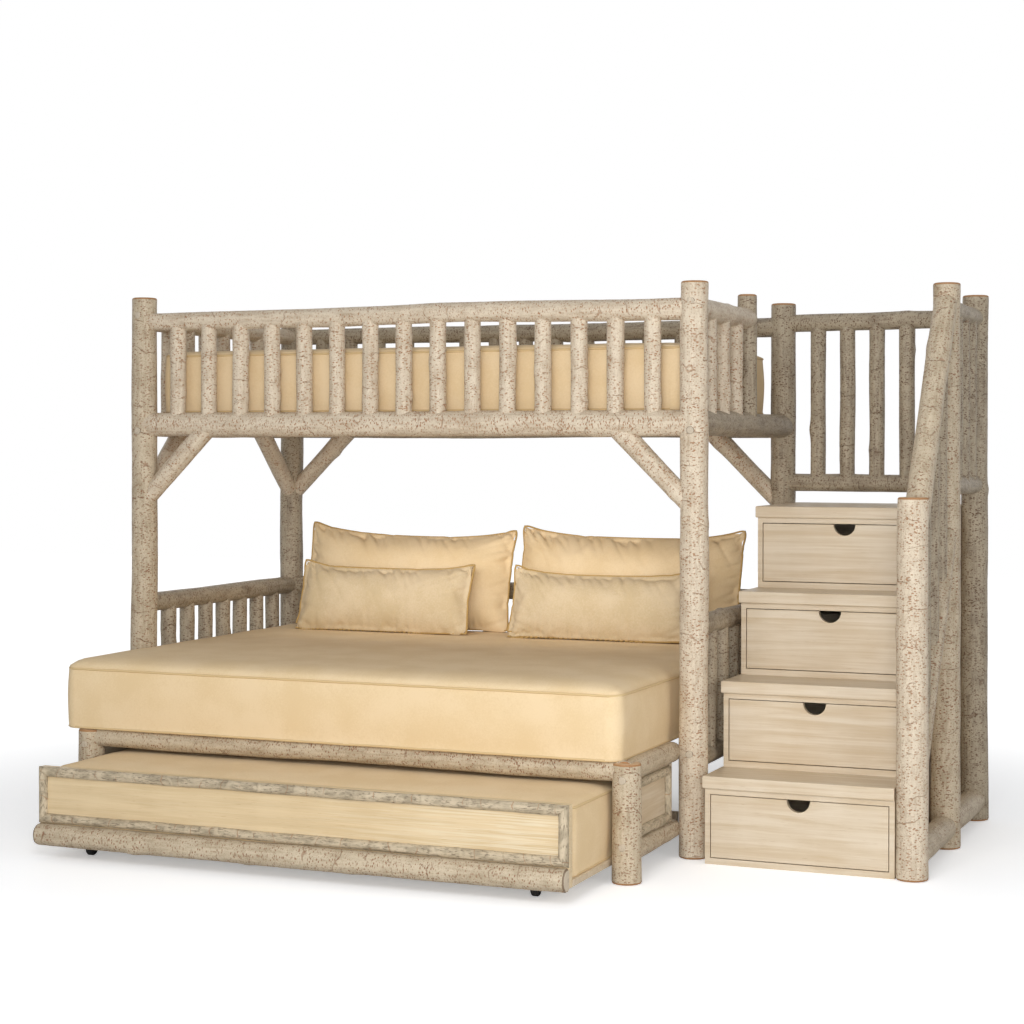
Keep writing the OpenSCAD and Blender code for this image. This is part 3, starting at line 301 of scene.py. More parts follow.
def twig_material(name, pale, mid, fleck, knot):
    """Split saplings, grey bark under the whitewash: flecked lengthwise, with pale nodes round them."""
    material, put = new_material(name, 0.5, {"Specular IOR Level": 0.3})
    place = put("attribute", attribute_name="log_place")
    # Grey patches 50 mm long, and dark flecks about 3 mm by 15 mm
    patches = put("noise", put("stretch", place, (60, 60, 18)), 1.0, 4, 0.6)
    base = put("mix", put("range", patches, 0.36, 0.6), mid, pale)
    flecks = put("noise", put("stretch", place, (300, 300, 60)), 1.0, 3, 0.65)
    dark = put("range", flecks, 0.54, 0.62, 0.0, 0.8)
    base = put("mix", dark, base, fleck)
    # Pale nodes 10 mm wide, some 110 mm apart, and brown cracks of their own
    node = rings_round(put, place, 9.0, 0.10)
    base = put("mix", put("multiply", node, 0.6), base, pale)
    worn = put("range", put("noise", place, 20, 2, 0.55), 0.46, 0.54, 0.0, 0.55)
    crack = put("multiply", rings_round(put, place, 14.0, 0.028), worn)
    base = put("mix", crack, base, knot)
    return coated(material, base, total(put, (node, 0.8), (dark, -0.6), (crack, -1.0)), 0.0020, 0.8)


def bark_material(name, pale, mid, fleck):
    """Birch bark left on the log under a thin whitewash: satin, with crisp brown lenticels across it."""
    material, put = new_material(name, 0.48, {"Specular IOR Level": 0.3})
    place = put("attribute", attribute_name="log_place")
    # Cloudy wash in patches of about 70 mm, and streaks 12 mm wide along the log
    patches = put("noise", place, 15, 5, 0.62)
    streaks = put("noise", put("stretch", place, (85, 85, 9)), 1.0, 3, 0.6)
    tone = total(put, (patches, 0.5), (streaks, 0.5))
    base = put("mix", put("range", tone, 0.28, 0.6), mid, pale)
    # Grain of the worn wash, 4 mm, which is coarser than real so that it shows
    speck = put("noise", place, 260, 3, 0.7)
    base = put("mix", put("range", speck, 0.46, 0.7, 0.0, 0.38), base, mid, blend_type="MULTIPLY")
    # Lenticels: dashes about 6 mm by 3.5 mm, long ones up to 15 mm, and small dots between them
    short = dashes(put, place, (88, 150), 0.27, 0.34, 0.2)
    long = dashes(put, place, (50, 190), 0.24, 0.31, 0.72)
    dots = dashes(put, place, (150, 190), 0.24, 0.34, 0.45)
    zones = put("range", put("noise", place, 11, 2, 0.55), 0.38, 0.62, 0.7, 1.0)
    marks = put("maximum", put("maximum", short, long), put("multiply", dots, 0.7))
    marks = put("multiply", marks, zones)
    base = put("mix", put("multiply", marks, 0.88), base, fleck)
    # Cracks 3 mm wide that run part of the way round the log, some 100 mm apart
    broken = put("range", put("noise", place, 22, 2, 0.55), 0.48, 0.54)
    crack = put("multiply", rings_round(put, place, 10.0, 0.02), broken)
    base = put("mix", put("multiply", crack, 0.5), base, fleck)
    height = total(put, (streaks, 0.5), (speck, 0.45), (marks, -0.4), (crack, -0.7))
    return coated(material, base, height, 0.0034, 0.9)


def sawn_material(name, wood, rim):
    """Cross-cut birch: growth rings 3 mm apart and a scorched rim."""
    material, put = new_material(name, 0.72)
    inside = put("attribute", attribute_name="log_reach", out="Fac")
    wobble = put("noise", put("attribute", attribute_name="log_place"), 40, 3, 0.55)
    rings = put("sine", put("multiply", put("add", inside, put("multiply", wobble, 0.06)), 92.0))
    base = put("mix", put("range", rings, -1, 1, 0.0, 0.35), wood, rim)
    edge = put("range", put("add", inside, put("multiply", wobble, 0.2)), 0.96, 1.06)
    return coated(material, put("mix", edge, base, rim), rings, 0.0006, 0.5)


def board_material(name, pale, dark, grain, streak=None, reach=None, side=None):
    """Planed maple under clear satin lacquer. grain is the axis that the board's grain runs along.
    streak is the colour of the wavy figure that fades in over the X positions in reach.
    side is the axis of the grain on faces that look along X, where other boards are joined on."""
    material, put = new_material(name, 0.42, {"Coat Weight": 0.12, "Coat Roughness": 0.35})
    place = put("coordinate")
    if side:
        order = [0, 1, 2]
        order[grain], order[side] = side, grain
        parts = put("parts", place).node.outputs
        turned = put("join", *(parts[k] for k in order))
        sideways = put("absolute", put("parts", put("coordinate", out="Normal")))
        place = put("swap", put("greater_than", sideways, 0.7), place, turned)

    def drawn_out(across, along):
        """The place, scaled by 1 / metres across the grain and along it."""
        scale = [across] * 3
        scale[grain] = along
        return put("stretch", place, scale)

    # Grain 25 mm wide and some 400 mm long, fine lines 4 mm wide, and pores
    broad = put("noise", drawn_out(42.0, 2.2), 1.0, 4, 0.5, 0.9)
    lines = put("noise", drawn_out(260.0, 5.0), 1.0, 3, 0.6, 0.4)
    patch = put("noise", place, 5.5, 3, 0.5)
    tone = total(put, (broad, 0.5), (lines, 0.25), (patch, 0.25))
    base = put("mix", put("range", tone, 0.36, 0.64), dark, pale)
    pore = put("range", put("noise", drawn_out(520.0, 26.0), 1.0, 1, 0.5), 0.68, 0.76, 0.0, 0.3)
    base = put("mix", pore, base, dark, blend_type="MULTIPLY")
    if streak:
        # Wavy streaks about 4 mm high and 120 mm long
        white = put("range", put("noise", drawn_out(210.0, 4.5), 1.0, 2, 0.5, 0.7), 0.47, 0.62, 0.0, 0.6)
        ragged = put("add", put("parts", place), put("multiply", patch, 0.5))
        fade = put("range", ragged, reach[0] + 0.25, reach[1] + 0.25, 0.12, 1.0)
        base = put("mix", put("multiply", white, fade), base, streak)
    return coated(material, base, lines, 0.0003, 0.5)


def cloth_material(name, high, low):
    """Plain-woven cotton canvas: matt, with a soft sheen. Real threads are 0.5 mm, too fine to show,
    so the weave is drawn at 2.4 mm."""
    material, put = new_material(name, 0.88, {"Sheen Weight": 0.06, "Sheen Roughness": 0.5,
                                              "Specular IOR Level": 0.15})
    place = put("coordinate")
    threads = [put("bands", place, 130.0, 1.2, 1.0, 3.0, bands_direction=axis) for axis in "XYZ"]
    slub = put("noise", place, 160, 3, 0.7)
    patch = put("noise", place, 7, 3, 0.5)
    base = put("mix", put("range", total(put, (patch, 0.6), (slub, 0.4)), 0.38, 0.62), low, high)
    height = total(put, (slub, 1.0), *((thread, 0.25) for thread in threads))
    return coated(material, base, height, 0.0005, 0.5)


def rubber_material(name, tone):
    """Moulded rubber with a fine matt skin."""
    material, put = new_material(name, 0.55)
    dust = put("noise", put("coordinate"), 420, 3, 0.55)
    base = put("mix", put("range", dust, 0.45, 0.75, 0.0, 0.18), tone, linear("#6a6660"))
    return coated(material, base, dust, 0.0002, 0.5)


def steel_material(name, tone):
    """Zinc-plated pressed steel, slightly clouded."""
    material, put = new_material(name, 0.38, {"Metallic": 1.0})
    haze = put("noise", put("coordinate"), 130, 4, 0.55)
    base = put("mix", put("range", haze, 0.35, 0.7, 0.0, 0.5), tone, linear("#77777c"))
    return coated(material, base, gloss=put("range", haze, 0.3, 0.7, 0.3, 0.5))


LOOKS = {}


def look(key):
    """The material of that key, made on first use."""
    if key not in LOOKS:
        f = bpy.context.scene.bunk_finishes
        maple = f.maple_pale, f.maple_dark
        figure_reach = middle("trundle_front").x - 0.1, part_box("trundle_front")[1].x
        maker, *values = {
            "bark": (bark_material, "Whitewashed birch bark", f.bark_pale, f.bark_mid, f.bark_fleck),
            # Painted shade: the bark made darker for logs in less light
            "dull": (bark_material, "Thinly washed birch bark", f.dull_pale, f.dull_mid, f.dull_fleck),
            # Painted shade: the bark made darker still for the rear logs
            "shade": (bark_material, "Greyed birch bark", f.shade_pale, f.shade_mid, f.shade_fleck),
            "twig": (twig_material, "Whitewashed sapling", f.twig_pale, f.twig_mid, f.twig_fleck,
                     f.bark_fleck),
            "sawn": (sawn_material, "Cross-cut birch", f.sawn, f.sawn_rim),
            "plug": (sawn_material, "Washed birch plug", f.bark_pale, f.plug_rim),
            "maple_x": (board_material, "Lacquered maple, long grain", *maple, 0),
            "maple_y": (board_material, "Lacquered maple, side grain", *maple, 1),
            "maple_case": (board_material, "Lacquered maple, upright sides", *maple, 0, None, None, 2),
            "maple_box": (board_material, "Lacquered maple, drawer", *maple, 0, None, None, 1),
            "figured": (board_material, "Figured maple", f.panel_pale, f.panel_dark, 0, f.figure_pale,
                        figure_reach),
            "canvas": (cloth_material, "Golden cotton canvas", f.canvas, f.canvas_low),
            "piping": (cloth_material, "Piping cord", f.piping, f.piping),
            "golden": (cloth_material, "Golden piping cord", f.golden, f.golden),
            "linen": (cloth_material, "Dull cotton linen", f.linen, f.linen_low),
            "rubber": (rubber_material, "Moulded rubber", f.rubber),
            "steel": (steel_material, "Zinc-plated steel", f.steel),
        }[key]
        LOOKS[key] = maker(*values)
    return LOOKS[key]


# Mesh helpers

def finished(name, bm, body, keys, nodes, smooth=True):
    """Makes an object of a bmesh, with its materials, body and replaced nodes."""
    mesh = bpy.data.meshes.new(name)
    for face in bm.faces:
        face.smooth = smooth
    bm.to_mesh(mesh)
    bm.free()
    piece = bpy.data.objects.new(name, mesh)
    bpy.context.scene.collection.objects.link(piece)
    for key in keys:
        mesh.materials.append(look(key))
    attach(piece, body)
    if nodes:
        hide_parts(*nodes)
    return piece


def merged(node):
    """A copy of a CAD node's mesh with its doubles merged."""
    bm = bmesh.new()
    bm.from_mesh(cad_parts[node].data)
    bmesh.ops.remove_doubles(bm, verts=bm.verts, dist=MERGE)
    return bm


def rounded(bm, edges, width, segments=2):
    """Rounds edges over by a width."""
    bmesh.ops.bevel(bm, geom=edges, offset=width, offset_type="OFFSET", segments=segments, profile=0.5,
                    affect="EDGES", clamp_overlap=True, material=-1)


def islands(node):
    """Boxes of the separate solids in a CAD node, as (lowest corner, highest corner)."""
    bm = merged(node)
    left = set(bm.verts)
    found = []
    while left:
        stack = [left.pop()]
        low = Vector(stack[0].co)
        high = Vector(stack[0].co)
        while stack:
            vert = stack.pop()
            low = Vector(map(min, low, vert.co))
            high = Vector(map(max, high, vert.co))
            for edge in vert.link_edges:
                other = edge.other_vert(vert)
                if other in left:
                    left.discard(other)
                    stack.append(other)
        found.append((low, high))
    bm.free()
    return sorted(found, key=lambda pair: tuple(round(c, 4) for c in pair[0]))


def softened(node, width, body, key):
    """Makes a board of a node, with its sharp edges rounded over by a width."""
    bm = merged(node)
    bmesh.ops.dissolve_limit(bm, angle_limit=math.radians(1), use_dissolve_boundaries=False,
                             verts=bm.verts, edges=bm.edges)
    sharp = [e for e in bm.edges if len(e.link_faces) == 2 and e.calc_face_angle(0) > math.radians(30)]
    rounded(bm, sharp, width)
    finished(node + "_board", bm, body, [key], [node], smooth=False)


# Logs

def new_pile():
    """An empty mesh that gathers logs and carries their own coordinates."""
    bm = bmesh.new()
    bm.verts.layers.float_vector.new("log_place")
    bm.verts.layers.float.new("log_reach")
    return bm


def round_bar(radius, end_radius, reach, sawn):
    """A tapered round along Z, ringed for bending, with chamfers at the ends that show their cut."""
    s = bpy.context.scene.bunk_logs
    bm = new_pile()
    sides = s.sides if max(radius, end_radius) > THIN else int(s.sides * 0.7)
    bmesh.ops.create_cone(bm, cap_ends=True, cap_tris=False, segments=sides, radius1=radius,
                          radius2=end_radius, depth=reach)
    long_edges = [e for e in bm.edges if abs(e.verts[0].co.z - e.verts[1].co.z) > reach / 2]
    count = max(4, int(reach / s.ring))
    bmesh.ops.subdivide_edges(bm, edges=long_edges, cuts=count - 1, use_grid_fill=True)
    for at, is_sawn in ((-reach / 2, sawn[0]), (reach / 2, sawn[1])):
        if is_sawn:
            rim = [e for e in bm.edges if all(abs(v.co.z - at) < TINY for v in e.verts)]
            rounded(bm, rim, s.rim)
            cap = [f for f in bm.faces if all(abs(v.co.z - at) < TINY for v in f.verts)]
            for _ in range(2):
                bmesh.ops.inset_region(bm, faces=cap, thickness=radius * 0.3, use_even_offset=True)
    bm.normal_update()
    for face in bm.faces:
        face.material_index = 1 if abs(face.normal.z) > 0.3 else 0
    return bm


def grow(bm, radius, end_radius, reach, seed, knots, lean):
    """Gives a round bar its own coordinates, its swellings, up to that many knots and its bend."""
    s = bpy.context.scene.bunk_logs
    place = bm.verts.layers.float_vector["log_place"]
    inside = bm.verts.layers.float["log_reach"]
    rng = random.Random(seed)
    shift = Vector([rng.uniform(-40, 40) for _ in range(3)])
    bumps = []
    for _ in range(rng.randint(0, knots)):
        bumps.append((rng.uniform(0, math.tau), rng.uniform(0.15, 0.85) * reach,
                      rng.uniform(0.5, 1.0) * s.knot, rng.uniform(0.010, 0.020)))
    for vert in bm.verts:
        along = vert.co.z + reach / 2
        share = along / reach
        local = radius + (end_radius - radius) * share
        flat = Vector((vert.co.x, vert.co.y, 0))
        vert[place] = Vector((flat.x, flat.y, along)) + shift
        vert[inside] = flat.length / local
        if flat.length < TINY:
            continue
        out = flat.normalized()
        near = out * 1.3 + Vector((0, 0, along * 5)) + shift
        fine = out * 6 + Vector((0, 0, along * 55)) + shift
        push = s.lump * noise.noise(near) + s.grit * noise.noise(fine)
        angle = math.atan2(out.y, out.x)
        for turn, height, rise, width in bumps:
            gap = (angle - turn + math.pi) % math.tau - math.pi
            away = ((gap * local) ** 2 + (along - height) ** 2) / (2 * width * width)
            if away < 6:
                push += rise * math.exp(-away)
        vert.co += out * push * min(1.0, flat.length / local)
        arch = 4 * share * (1 - share) * s.bend * lean * min(1.0, reach / 2.0)
        vert.co.x += arch * noise.noise(Vector((along * 1.4, 0, 0)) + shift)
        vert.co.y += arch * noise.noise(Vector((along * 1.4, 7, 0)) + shift)


def add_log(pile, start, end, radius, end_radius=None, seed=0, sawn=(False, False), cuts=(), knots=2,
            lean=1.0):
    """Adds one log to a pile. sawn says which ends show their cut, and cuts are (point, normal) planes:
    what lies on the normal's side is cut away. lean is how much it bends, as a share of the usual."""
    end_radius = radius if end_radius is None else end_radius
    start, end = Vector(start), Vector(end)
    reach = (end - start).length
    bm = round_bar(radius, end_radius, reach, sawn)
    grow(bm, radius, end_radius, reach, seed, knots, lean)
    aim = (end - start).to_track_quat("Z", "Y").to_matrix().to_4x4()
    bmesh.ops.transform(bm, matrix=Matrix.Translation((start + end) / 2) @ aim, verts=bm.verts)
    for point, normal in cuts:
        made = bmesh.ops.bisect_plane(bm, geom=bm.verts[:] + bm.edges[:] + bm.faces[:], dist=TINY,
                                      plane_co=point, plane_no=normal, clear_outer=True)
        rim = [g for g in made["geom_cut"] if isinstance(g, bmesh.types.BMEdge)]
        bmesh.ops.holes_fill(bm, edges=rim, sides=0)
    mesh = bpy.data.meshes.new("log")
    bm.to_mesh(mesh)
    bm.free()
    pile.from_mesh(mesh)
    bpy.data.meshes.remove(mesh)


def stack(name, pile, node, body="bed_frame", key="bark", slot=None, end="sawn"):
    """Finishes a pile of logs as the piece that stands for a node."""
    slot = slot or ("bark_shaded" if key == "shade" else "bark")
    piece = finished(name, pile, body, [key, end], [node])
    for face in piece.data.polygons:
        face.use_smooth = face.material_index == 0


def post_piece(node, key, seed, thinner=0.0025, low=0.0):
    """A post with two sawn ends, from a height up to its node's top, thinner there."""
    bottom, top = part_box(node)
    centre = middle(node)
    radius = (top.x - bottom.x) / 2
    pile = new_pile()
    add_log(pile, (centre.x, centre.y, low), (centre.x, centre.y, top.z), radius, radius - thinner, seed,
            (True, True), knots=5)
    stack(node + "_log", pile, node, key=key)


def rail_piece(node, axis, key, seed, start, end, radii=None, lean=1.0):
    """A straight rail of a node of its own, from start to end along the X or the Y axis."""
    low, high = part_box(node)
    centre = middle(node)
    radius = (high.z - low.z) / 2
    first, last = radii or (radius, radius)
    a, b = centre.copy(), centre.copy()
    a[axis], b[axis] = start, end
    pile = new_pile()
    add_log(pile, a, b, first, last, seed, knots=6, lean=lean)
    stack(node + "_log", pile, node, key=key)


def baluster_piece(name, node, key, seed):
    """Upright balusters where a node's solids stand, let into the rails above and below."""
    pile = new_pile()
    for k, (low, high) in enumerate(islands(node)):
        x, y = (low.x + high.x) / 2, (low.y + high.y) / 2
        radius = (high.x - low.x) / 2
        add_log(pile, (x, y, low.z - LET_IN), (x, y, high.z + LET_IN), radius, None, seed + k, knots=5)
    stack(name, pile, node, key=key)


class BunkLogs(bpy.types.Operator):
    """Makes the posts, rails, guards, balusters and braces of the bunk"""
    bl_idname = "bunk.bunk_logs"
    bl_label = "Bunk logs"

    def execute(self, context):
        s = context.scene.bunk_sizes
        # Logs in less light take bark with painted shade: the front left post a half shade, and the rear
        # logs, the right end rail and the entry post a deeper one
        for k, (node, key) in enumerate((("post_front_left", "dull"), ("post_front_right", "bark"),
                                         ("post_rear_left", "shade"), ("post_rear_right", "shade"))):
            post_piece(node, key, 10 + k)
        post_piece("guard_post", "shade", 15, 0.001, middle("bunk_rail_front").z)
        rail_piece("bunk_rail_front", 0, "bark", 21, LEFT, RIGHT)
        rail_piece("bunk_rail_rear", 0, "shade", 22, LEFT, RIGHT)
        rail_piece("bunk_rail_left", 1, "bark", 23, FRONT, REAR)
        rail_piece("bunk_rail_right", 1, "shade", 24, FRONT, REAR)
        low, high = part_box("guard_rail_front")
        thick = (high.z - low.z) / 2
        thin = thick - s.guard_taper
        rail_piece("guard_rail_front", 0, "bark", 25, LEFT, RIGHT, (thin, thick), 2.0)
        rail_piece("guard_rail_rear", 0, "shade", 26, LEFT, RIGHT, (thin, thick), 1.5)
        rail_piece("guard_rail_left", 1, "bark", 27, FRONT, REAR)
        rail_piece("guard_rail_right", 1, "bark", 28, FRONT, FRONT + s.guard_post_y)
        baluster_piece("front_balusters", "balusters_front", "bark", 100)
        baluster_piece("rear_balusters", "balusters_rear", "shade", 130)
        baluster_piece("end_balusters", "balusters_ends", "bark", 160)
        rail = middle("bunk_rail_front").z
        pile = new_pile()
        # Each at its post, with its way along X and Y and what it reaches further than the others
        braces = [(LEFT, FRONT, 1, 0, 0), (LEFT, REAR, 1, 0, 0), (RIGHT, FRONT, -1, 0, 0),
                  (RIGHT, REAR, -1, 0, s.brace_more), (LEFT, FRONT, 0, 1, 0), (LEFT, REAR, 0, -1, 0)]
        for k, (x, y, along_x, along_y, more) in enumerate(braces):
            reach = s.brace_reach + more
            add_log(pile, (x, y, rail - reach), (x + along_x * reach, y + along_y * reach, rail),
                    s.brace_radius, s.brace_radius + s.taper, 180 + k, knots=2)
        stack("brace_logs", pile, "braces", slot="bark_shaded")
        return {"FINISHED"}


class DayBedLogs(bpy.types.Operator):
    """Makes the legs, rails and low guard of the day bed"""
    bl_idname = "bunk.day_bed_logs"
    bl_label = "Day bed logs"

    def execute(self, context):
        # The legs and the bed's front and side rails take bark with painted half shade, and the low rails
        # and balusters behind take the deeper painted shade
        post_piece("leg_left", "dull", 201, 0.001)
        post_piece("leg_right", "dull", 202, 0.001)
        rail_piece("bed_rail_front", 0, "dull", 203, middle("leg_left").x, middle("leg_right").x)
        rail_piece("low_rail_left", 1, "shade", 204, FRONT, REAR)
        rail_piece("low_rail_right", 1, "shade", 205, FRONT, REAR)
        rail_piece("low_rail_rear", 0, "shade", 206, LEFT, RIGHT)
        pile = new_pile()
        for k, (low, high) in enumerate(islands("bed_side_rails")):
            x, z = (low.x + high.x) / 2, (low.z + high.z) / 2
            add_log(pile, (x, low.y - RAIL_IN, z), (x, high.y, z), (high.x - low.x) / 2, None, 210 + k,
                    (False, True), knots=2)
        stack("bed_side_logs", pile, "bed_side_rails", key="dull")
        pile = new_pile()
        for k, (low, high) in enumerate(islands("sill_rails")):
            centre = (low + high) / 2
            radius = (high.z - low.z) / 2
            if high.x - low.x > high.y - low.y:
                ends = (LEFT, centre.y, centre.z), (RIGHT, centre.y, centre.z)
            else:
                ends = (centre.x, FRONT, centre.z), (centre.x, REAR, centre.z)
            add_log(pile, *ends, radius, None, 220 + k, knots=3)
        stack("sill_logs", pile, "sill_rails", key="shade")
        baluster_piece("low_guard_balusters", "low_balusters", "shade", 230)
        return {"FINISHED"}


class StepLogs(bpy.types.Operator):
    """Makes the posts, handrail, rails and balusters beside the steps and round the landing"""
    bl_idname = "bunk.step_logs"
    bl_label = "Step logs"

    def execute(self, context):
        s = context.scene.bunk_sizes
        # The tall post and the step rails take bark with painted half shade, and the rear post, the landing
        # rails and the step balusters a deeper painted shade
        post_piece("newel_post", "bark", 301)
        post_piece("tall_post", "dull", 302, 0.005)
        post_piece("rear_stair_post", "shade", 303, 0.005)
        newel, tall, back = middle("newel_post"), middle("tall_post"), middle("rear_stair_post")
        corner = middle("post_rear_right")
        pile = new_pile()
        runs = [(newel, s.handrail_low, tall, s.handrail_high, s.handrail_radius),
                (newel, s.slope_low, tall, s.slope_high, s.slope_radius),
                (newel, s.base_height, tall, s.base_height, s.base_radius),
                (tall, s.base_height, back, s.base_height, s.base_radius)]
        for k, (a, low, b, high, radius) in enumerate(runs):
            add_log(pile, (a.x, a.y, low), (b.x, b.y, high), radius, None, 310 + k, knots=3)
        stack("step_rail_logs", pile, "stair_rails", key="dull")
        pile = new_pile()
        for k, (a, b) in enumerate(((corner, back), (tall, back))):
            for j, height in enumerate((s.landing_low, s.landing_top)):
                add_log(pile, (a.x, a.y, height), (b.x, b.y, height), s.landing_radius, None,
                        320 + 2 * k + j, knots=2)
        stack("landing_logs", pile, "landing_rails", key="shade")
        pile = new_pile()
        for k, (low, high) in enumerate(islands("stair_baluster_set")):
            x, y = (low.x + high.x) / 2, (low.y + high.y) / 2
            radius = (high.x - low.x) / 2
            bottom, top = low.z - LET_IN, high.z + LET_IN
            if y < tall.y:
                share = (y - newel.y) / (tall.y - newel.y)
                bottom = s.slope_low + (s.slope_high - s.slope_low) * share
                top = s.handrail_low + (s.handrail_high - s.handrail_low) * share
            add_log(pile, (x, y, bottom), (x, y, top), radius, None, 340 + k, knots=2)
        stack("step_balusters", pile, "stair_baluster_set", key="shade", slot="bark")
        return {"FINISHED"}


class TrundleLogs(bpy.types.Operator):
    """Makes the split logs on the trundle's face and the mouldings of the side panels"""
    bl_idname = "bunk.trundle_logs"
    bl_label = "Trundle logs and mouldings"

    def execute(self, context):
        s = context.scene.bunk_sizes
        low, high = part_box("trundle_log")
        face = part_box("trundle_front")[0].y
        z = (low.z + high.z) / 2
        pile = new_pile()
        add_log(pile, (low.x, face - s.trundle_log_out, z), (high.x, face - s.trundle_log_out, z),
                s.trundle_log_radius, None, 401, (True, True), [((0, face, 0), (0, 1, 0))], 4)
        # The trundle's log takes bark with painted half shade
        stack("trundle_foot_log", pile, "trundle_log", "trundle", "dull", end="plug")
        low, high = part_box("trundle_moulding")
        pile = new_pile()
        self.strips(pile, Vector((low.x, face, low.z)), high.x - low.x, high.z - low.z,
                    Vector((1, 0, 0)), Vector((0, -1, 0)), s.moulding, 410)
        stack("trundle_face_moulding", pile, "trundle_moulding", "trundle", "twig", "bark")
        pile = new_pile()
        boxes = islands("bed_side_mouldings")
        for side, first in ((-1, middle("leg_left").x), (1, middle("leg_right").x)):
            # The strips beside this leg, within 200 mm of it
            own = [b for b in boxes if abs((b[0].x + b[1].x) / 2 - first) < 0.2]
            low = Vector([min(b[0][k] for b in own) for k in range(3)])
            high = Vector([max(b[1][k] for b in own) for k in range(3)])
            width, height = high.y - low.y, high.z - low.z
            low.x = high.x if side < 0 else low.x
            self.strips(pile, low, width, height, Vector((0, 1, 0)), Vector((side, 0, 0)), s.moulding,
                        420 + 5 * side)
        stack("side_panel_mouldings", pile, "bed_side_mouldings", key="twig", slot="bark")
        return {"FINISHED"}

    def strips(self, pile, origin, width, height, across, out, radius, seed):
        """Four half-round strips round a rectangle, mitred at its corners."""
        up = Vector((0, 0, 1))
        back = (tuple(origin), tuple(-out))
        middle_of = origin + across * width / 2 + up * height / 2
        corners = [origin, origin + across * width, origin + across * width + up * height,
                   origin + up * height]
        for k in range(4):
            a, b = corners[k], corners[(k + 1) % 4]
            along = (b - a).normalized()
            inward = (middle_of - (a + b) / 2).normalized()
            cuts = [back, (tuple(a), tuple((inward - along).normalized())),
                    (tuple(b), tuple((inward + along).normalized()))]
            add_log(pile, a + inward * radius, b + inward * radius, radius, None, seed + k, cuts=cuts,
                    lean=0.4)


class Boards(bpy.types.Operator):
    """Rounds the edges of the boards and gives them their grain"""
    bl_idname = "bunk.boards"
    bl_label = "Boards and drawers"

    def execute(self, context):
        boards = [("stair_treads", 0.0010, "bed_frame", "maple_x"),
                  ("trundle_front", 0.0020, "trundle", "figured"),
                  ("trundle_tray", 0.0015, "trundle", "maple_x"),
                  ("bed_side_panels", 0.0010, "bed_frame", "maple_y")]
        boards += [(f"drawer_{k}", 0.0012, f"drawer_{k}_box", "maple_box") for k in range(1, 5)]
        for node, edge, body, key in boards:
            softened(node, edge, body, key)
        # These keep their solids' own meshes and only take their wood
        for node, key in (("stair_carcass", "maple_case"), ("bunk_slats", "maple_y"),
                          ("bed_slats", "maple_y"), ("slat_ledgers", "maple_x")):
            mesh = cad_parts[node].data
            mesh.materials.clear()
            mesh.materials.append(look(key))
        return {"FINISHED"}


class Hardware(bpy.types.Operator):
    """Gives the casters their steel and rubber, and makes the wooden plugs"""
    bl_idname = "bunk.hardware"
    bl_label = "Casters and plugs"

    def execute(self, context):
        softened("caster_forks", 0.0004, "trundle", "steel")
        for place in ("front_left", "front_right", "rear_left", "rear_right"):
            self.tyre(place)
        pile = new_pile()
        for k, (low, high) in enumerate(islands("wood_plugs")):
            x, z = (low.x + high.x) / 2, (low.z + high.z) / 2
            add_log(pile, (x, high.y, z), (x, low.y, z), (high.x - low.x) / 2, None, 450 + k, (False, True),
                    knots=0)
        finished("plugs", pile, "bed_frame", ["bark", "plug"], ["wood_plugs"])
        return {"FINISHED"}

    def tyre(self, place):
        """A turned wheel: a hub, a dished web and a rounded tread, spun from half its section."""
        node = "wheel_" + place
        low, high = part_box(node)
        radius = (high.z - low.z) / 2
        half = (high.x - low.x) / 2
        # Along the axle and out from it: bore, hub, web, and the tread's side, shoulder and crown
        section = [(-half, 0.0032), (-half, 0.0075), (-half * 0.62, 0.0085), (-half * 0.62, radius - 0.0075),
                   (-half * 0.9, radius - 0.0060), (-half * 0.9, radius - 0.0022), (-half * 0.6, radius)]
        bm = bmesh.new()
        points = section + [(-x, r) for x, r in reversed(section)]
        verts = [bm.verts.new((x, 0, r)) for x, r in points]
        for a, b in zip(verts, verts[1:] + verts[:1]):
            bm.edges.new((a, b))
        bmesh.ops.spin(bm, geom=bm.verts[:] + bm.edges[:], cent=(0, 0, 0), axis=(1, 0, 0), dvec=(0, 0, 0),
                       angle=math.tau, steps=48, use_merge=True, use_duplicate=False)
        bmesh.ops.remove_doubles(bm, verts=bm.verts, dist=0.00001)
        bmesh.ops.recalc_face_normals(bm, faces=bm.faces)
        bmesh.ops.translate(bm, vec=middle(node), verts=bm.verts)
        piece = finished(node + "_tyre", bm, "caster_" + place, ["rubber"], [node])
        piece.data.set_sharp_from_angle(angle=math.radians(40))


# Soft pieces

# Mesh spacing up a mattress's sides, the rounding of its edges, and the step of its piping
SIDE_CELL = 0.022
EDGE = 0.007
STEP = 0.012
# Mesh spacing of a pillow's flat panels, the gap between them, and the frames it is blown up in
PANEL_CELL = 0.0125
PANEL_GAP = 0.006
FRAMES = 30


def tube(bm, points, radius):
    """Adds a closed round cord along points to a bmesh, by way of a bevelled curve. Its faces take
    material 1."""
    curve = bpy.data.curves.new("cord", "CURVE")
    curve.dimensions = "3D"
    curve.bevel_depth = radius
    curve.bevel_resolution = 1
    spline = curve.splines.new("POLY")
    spline.points.add(len(points) - 1)
    for target, point in zip(spline.points, points):
        target.co = (*point, 1)
    spline.use_cyclic_u = True
    holder = bpy.data.objects.new("cord", curve)
    bpy.context.scene.collection.objects.link(holder)
    bpy.context.view_layer.update()
    mesh = bpy.data.meshes.new_from_object(holder.evaluated_get(bpy.context.evaluated_depsgraph_get()))
    bpy.data.objects.remove(holder)
    bpy.data.curves.remove(curve)
    before = set(bm.faces)
    bm.from_mesh(mesh)
    bpy.data.meshes.remove(mesh)
    for face in bm.faces:
        if face not in before:
            face.material_index = 1


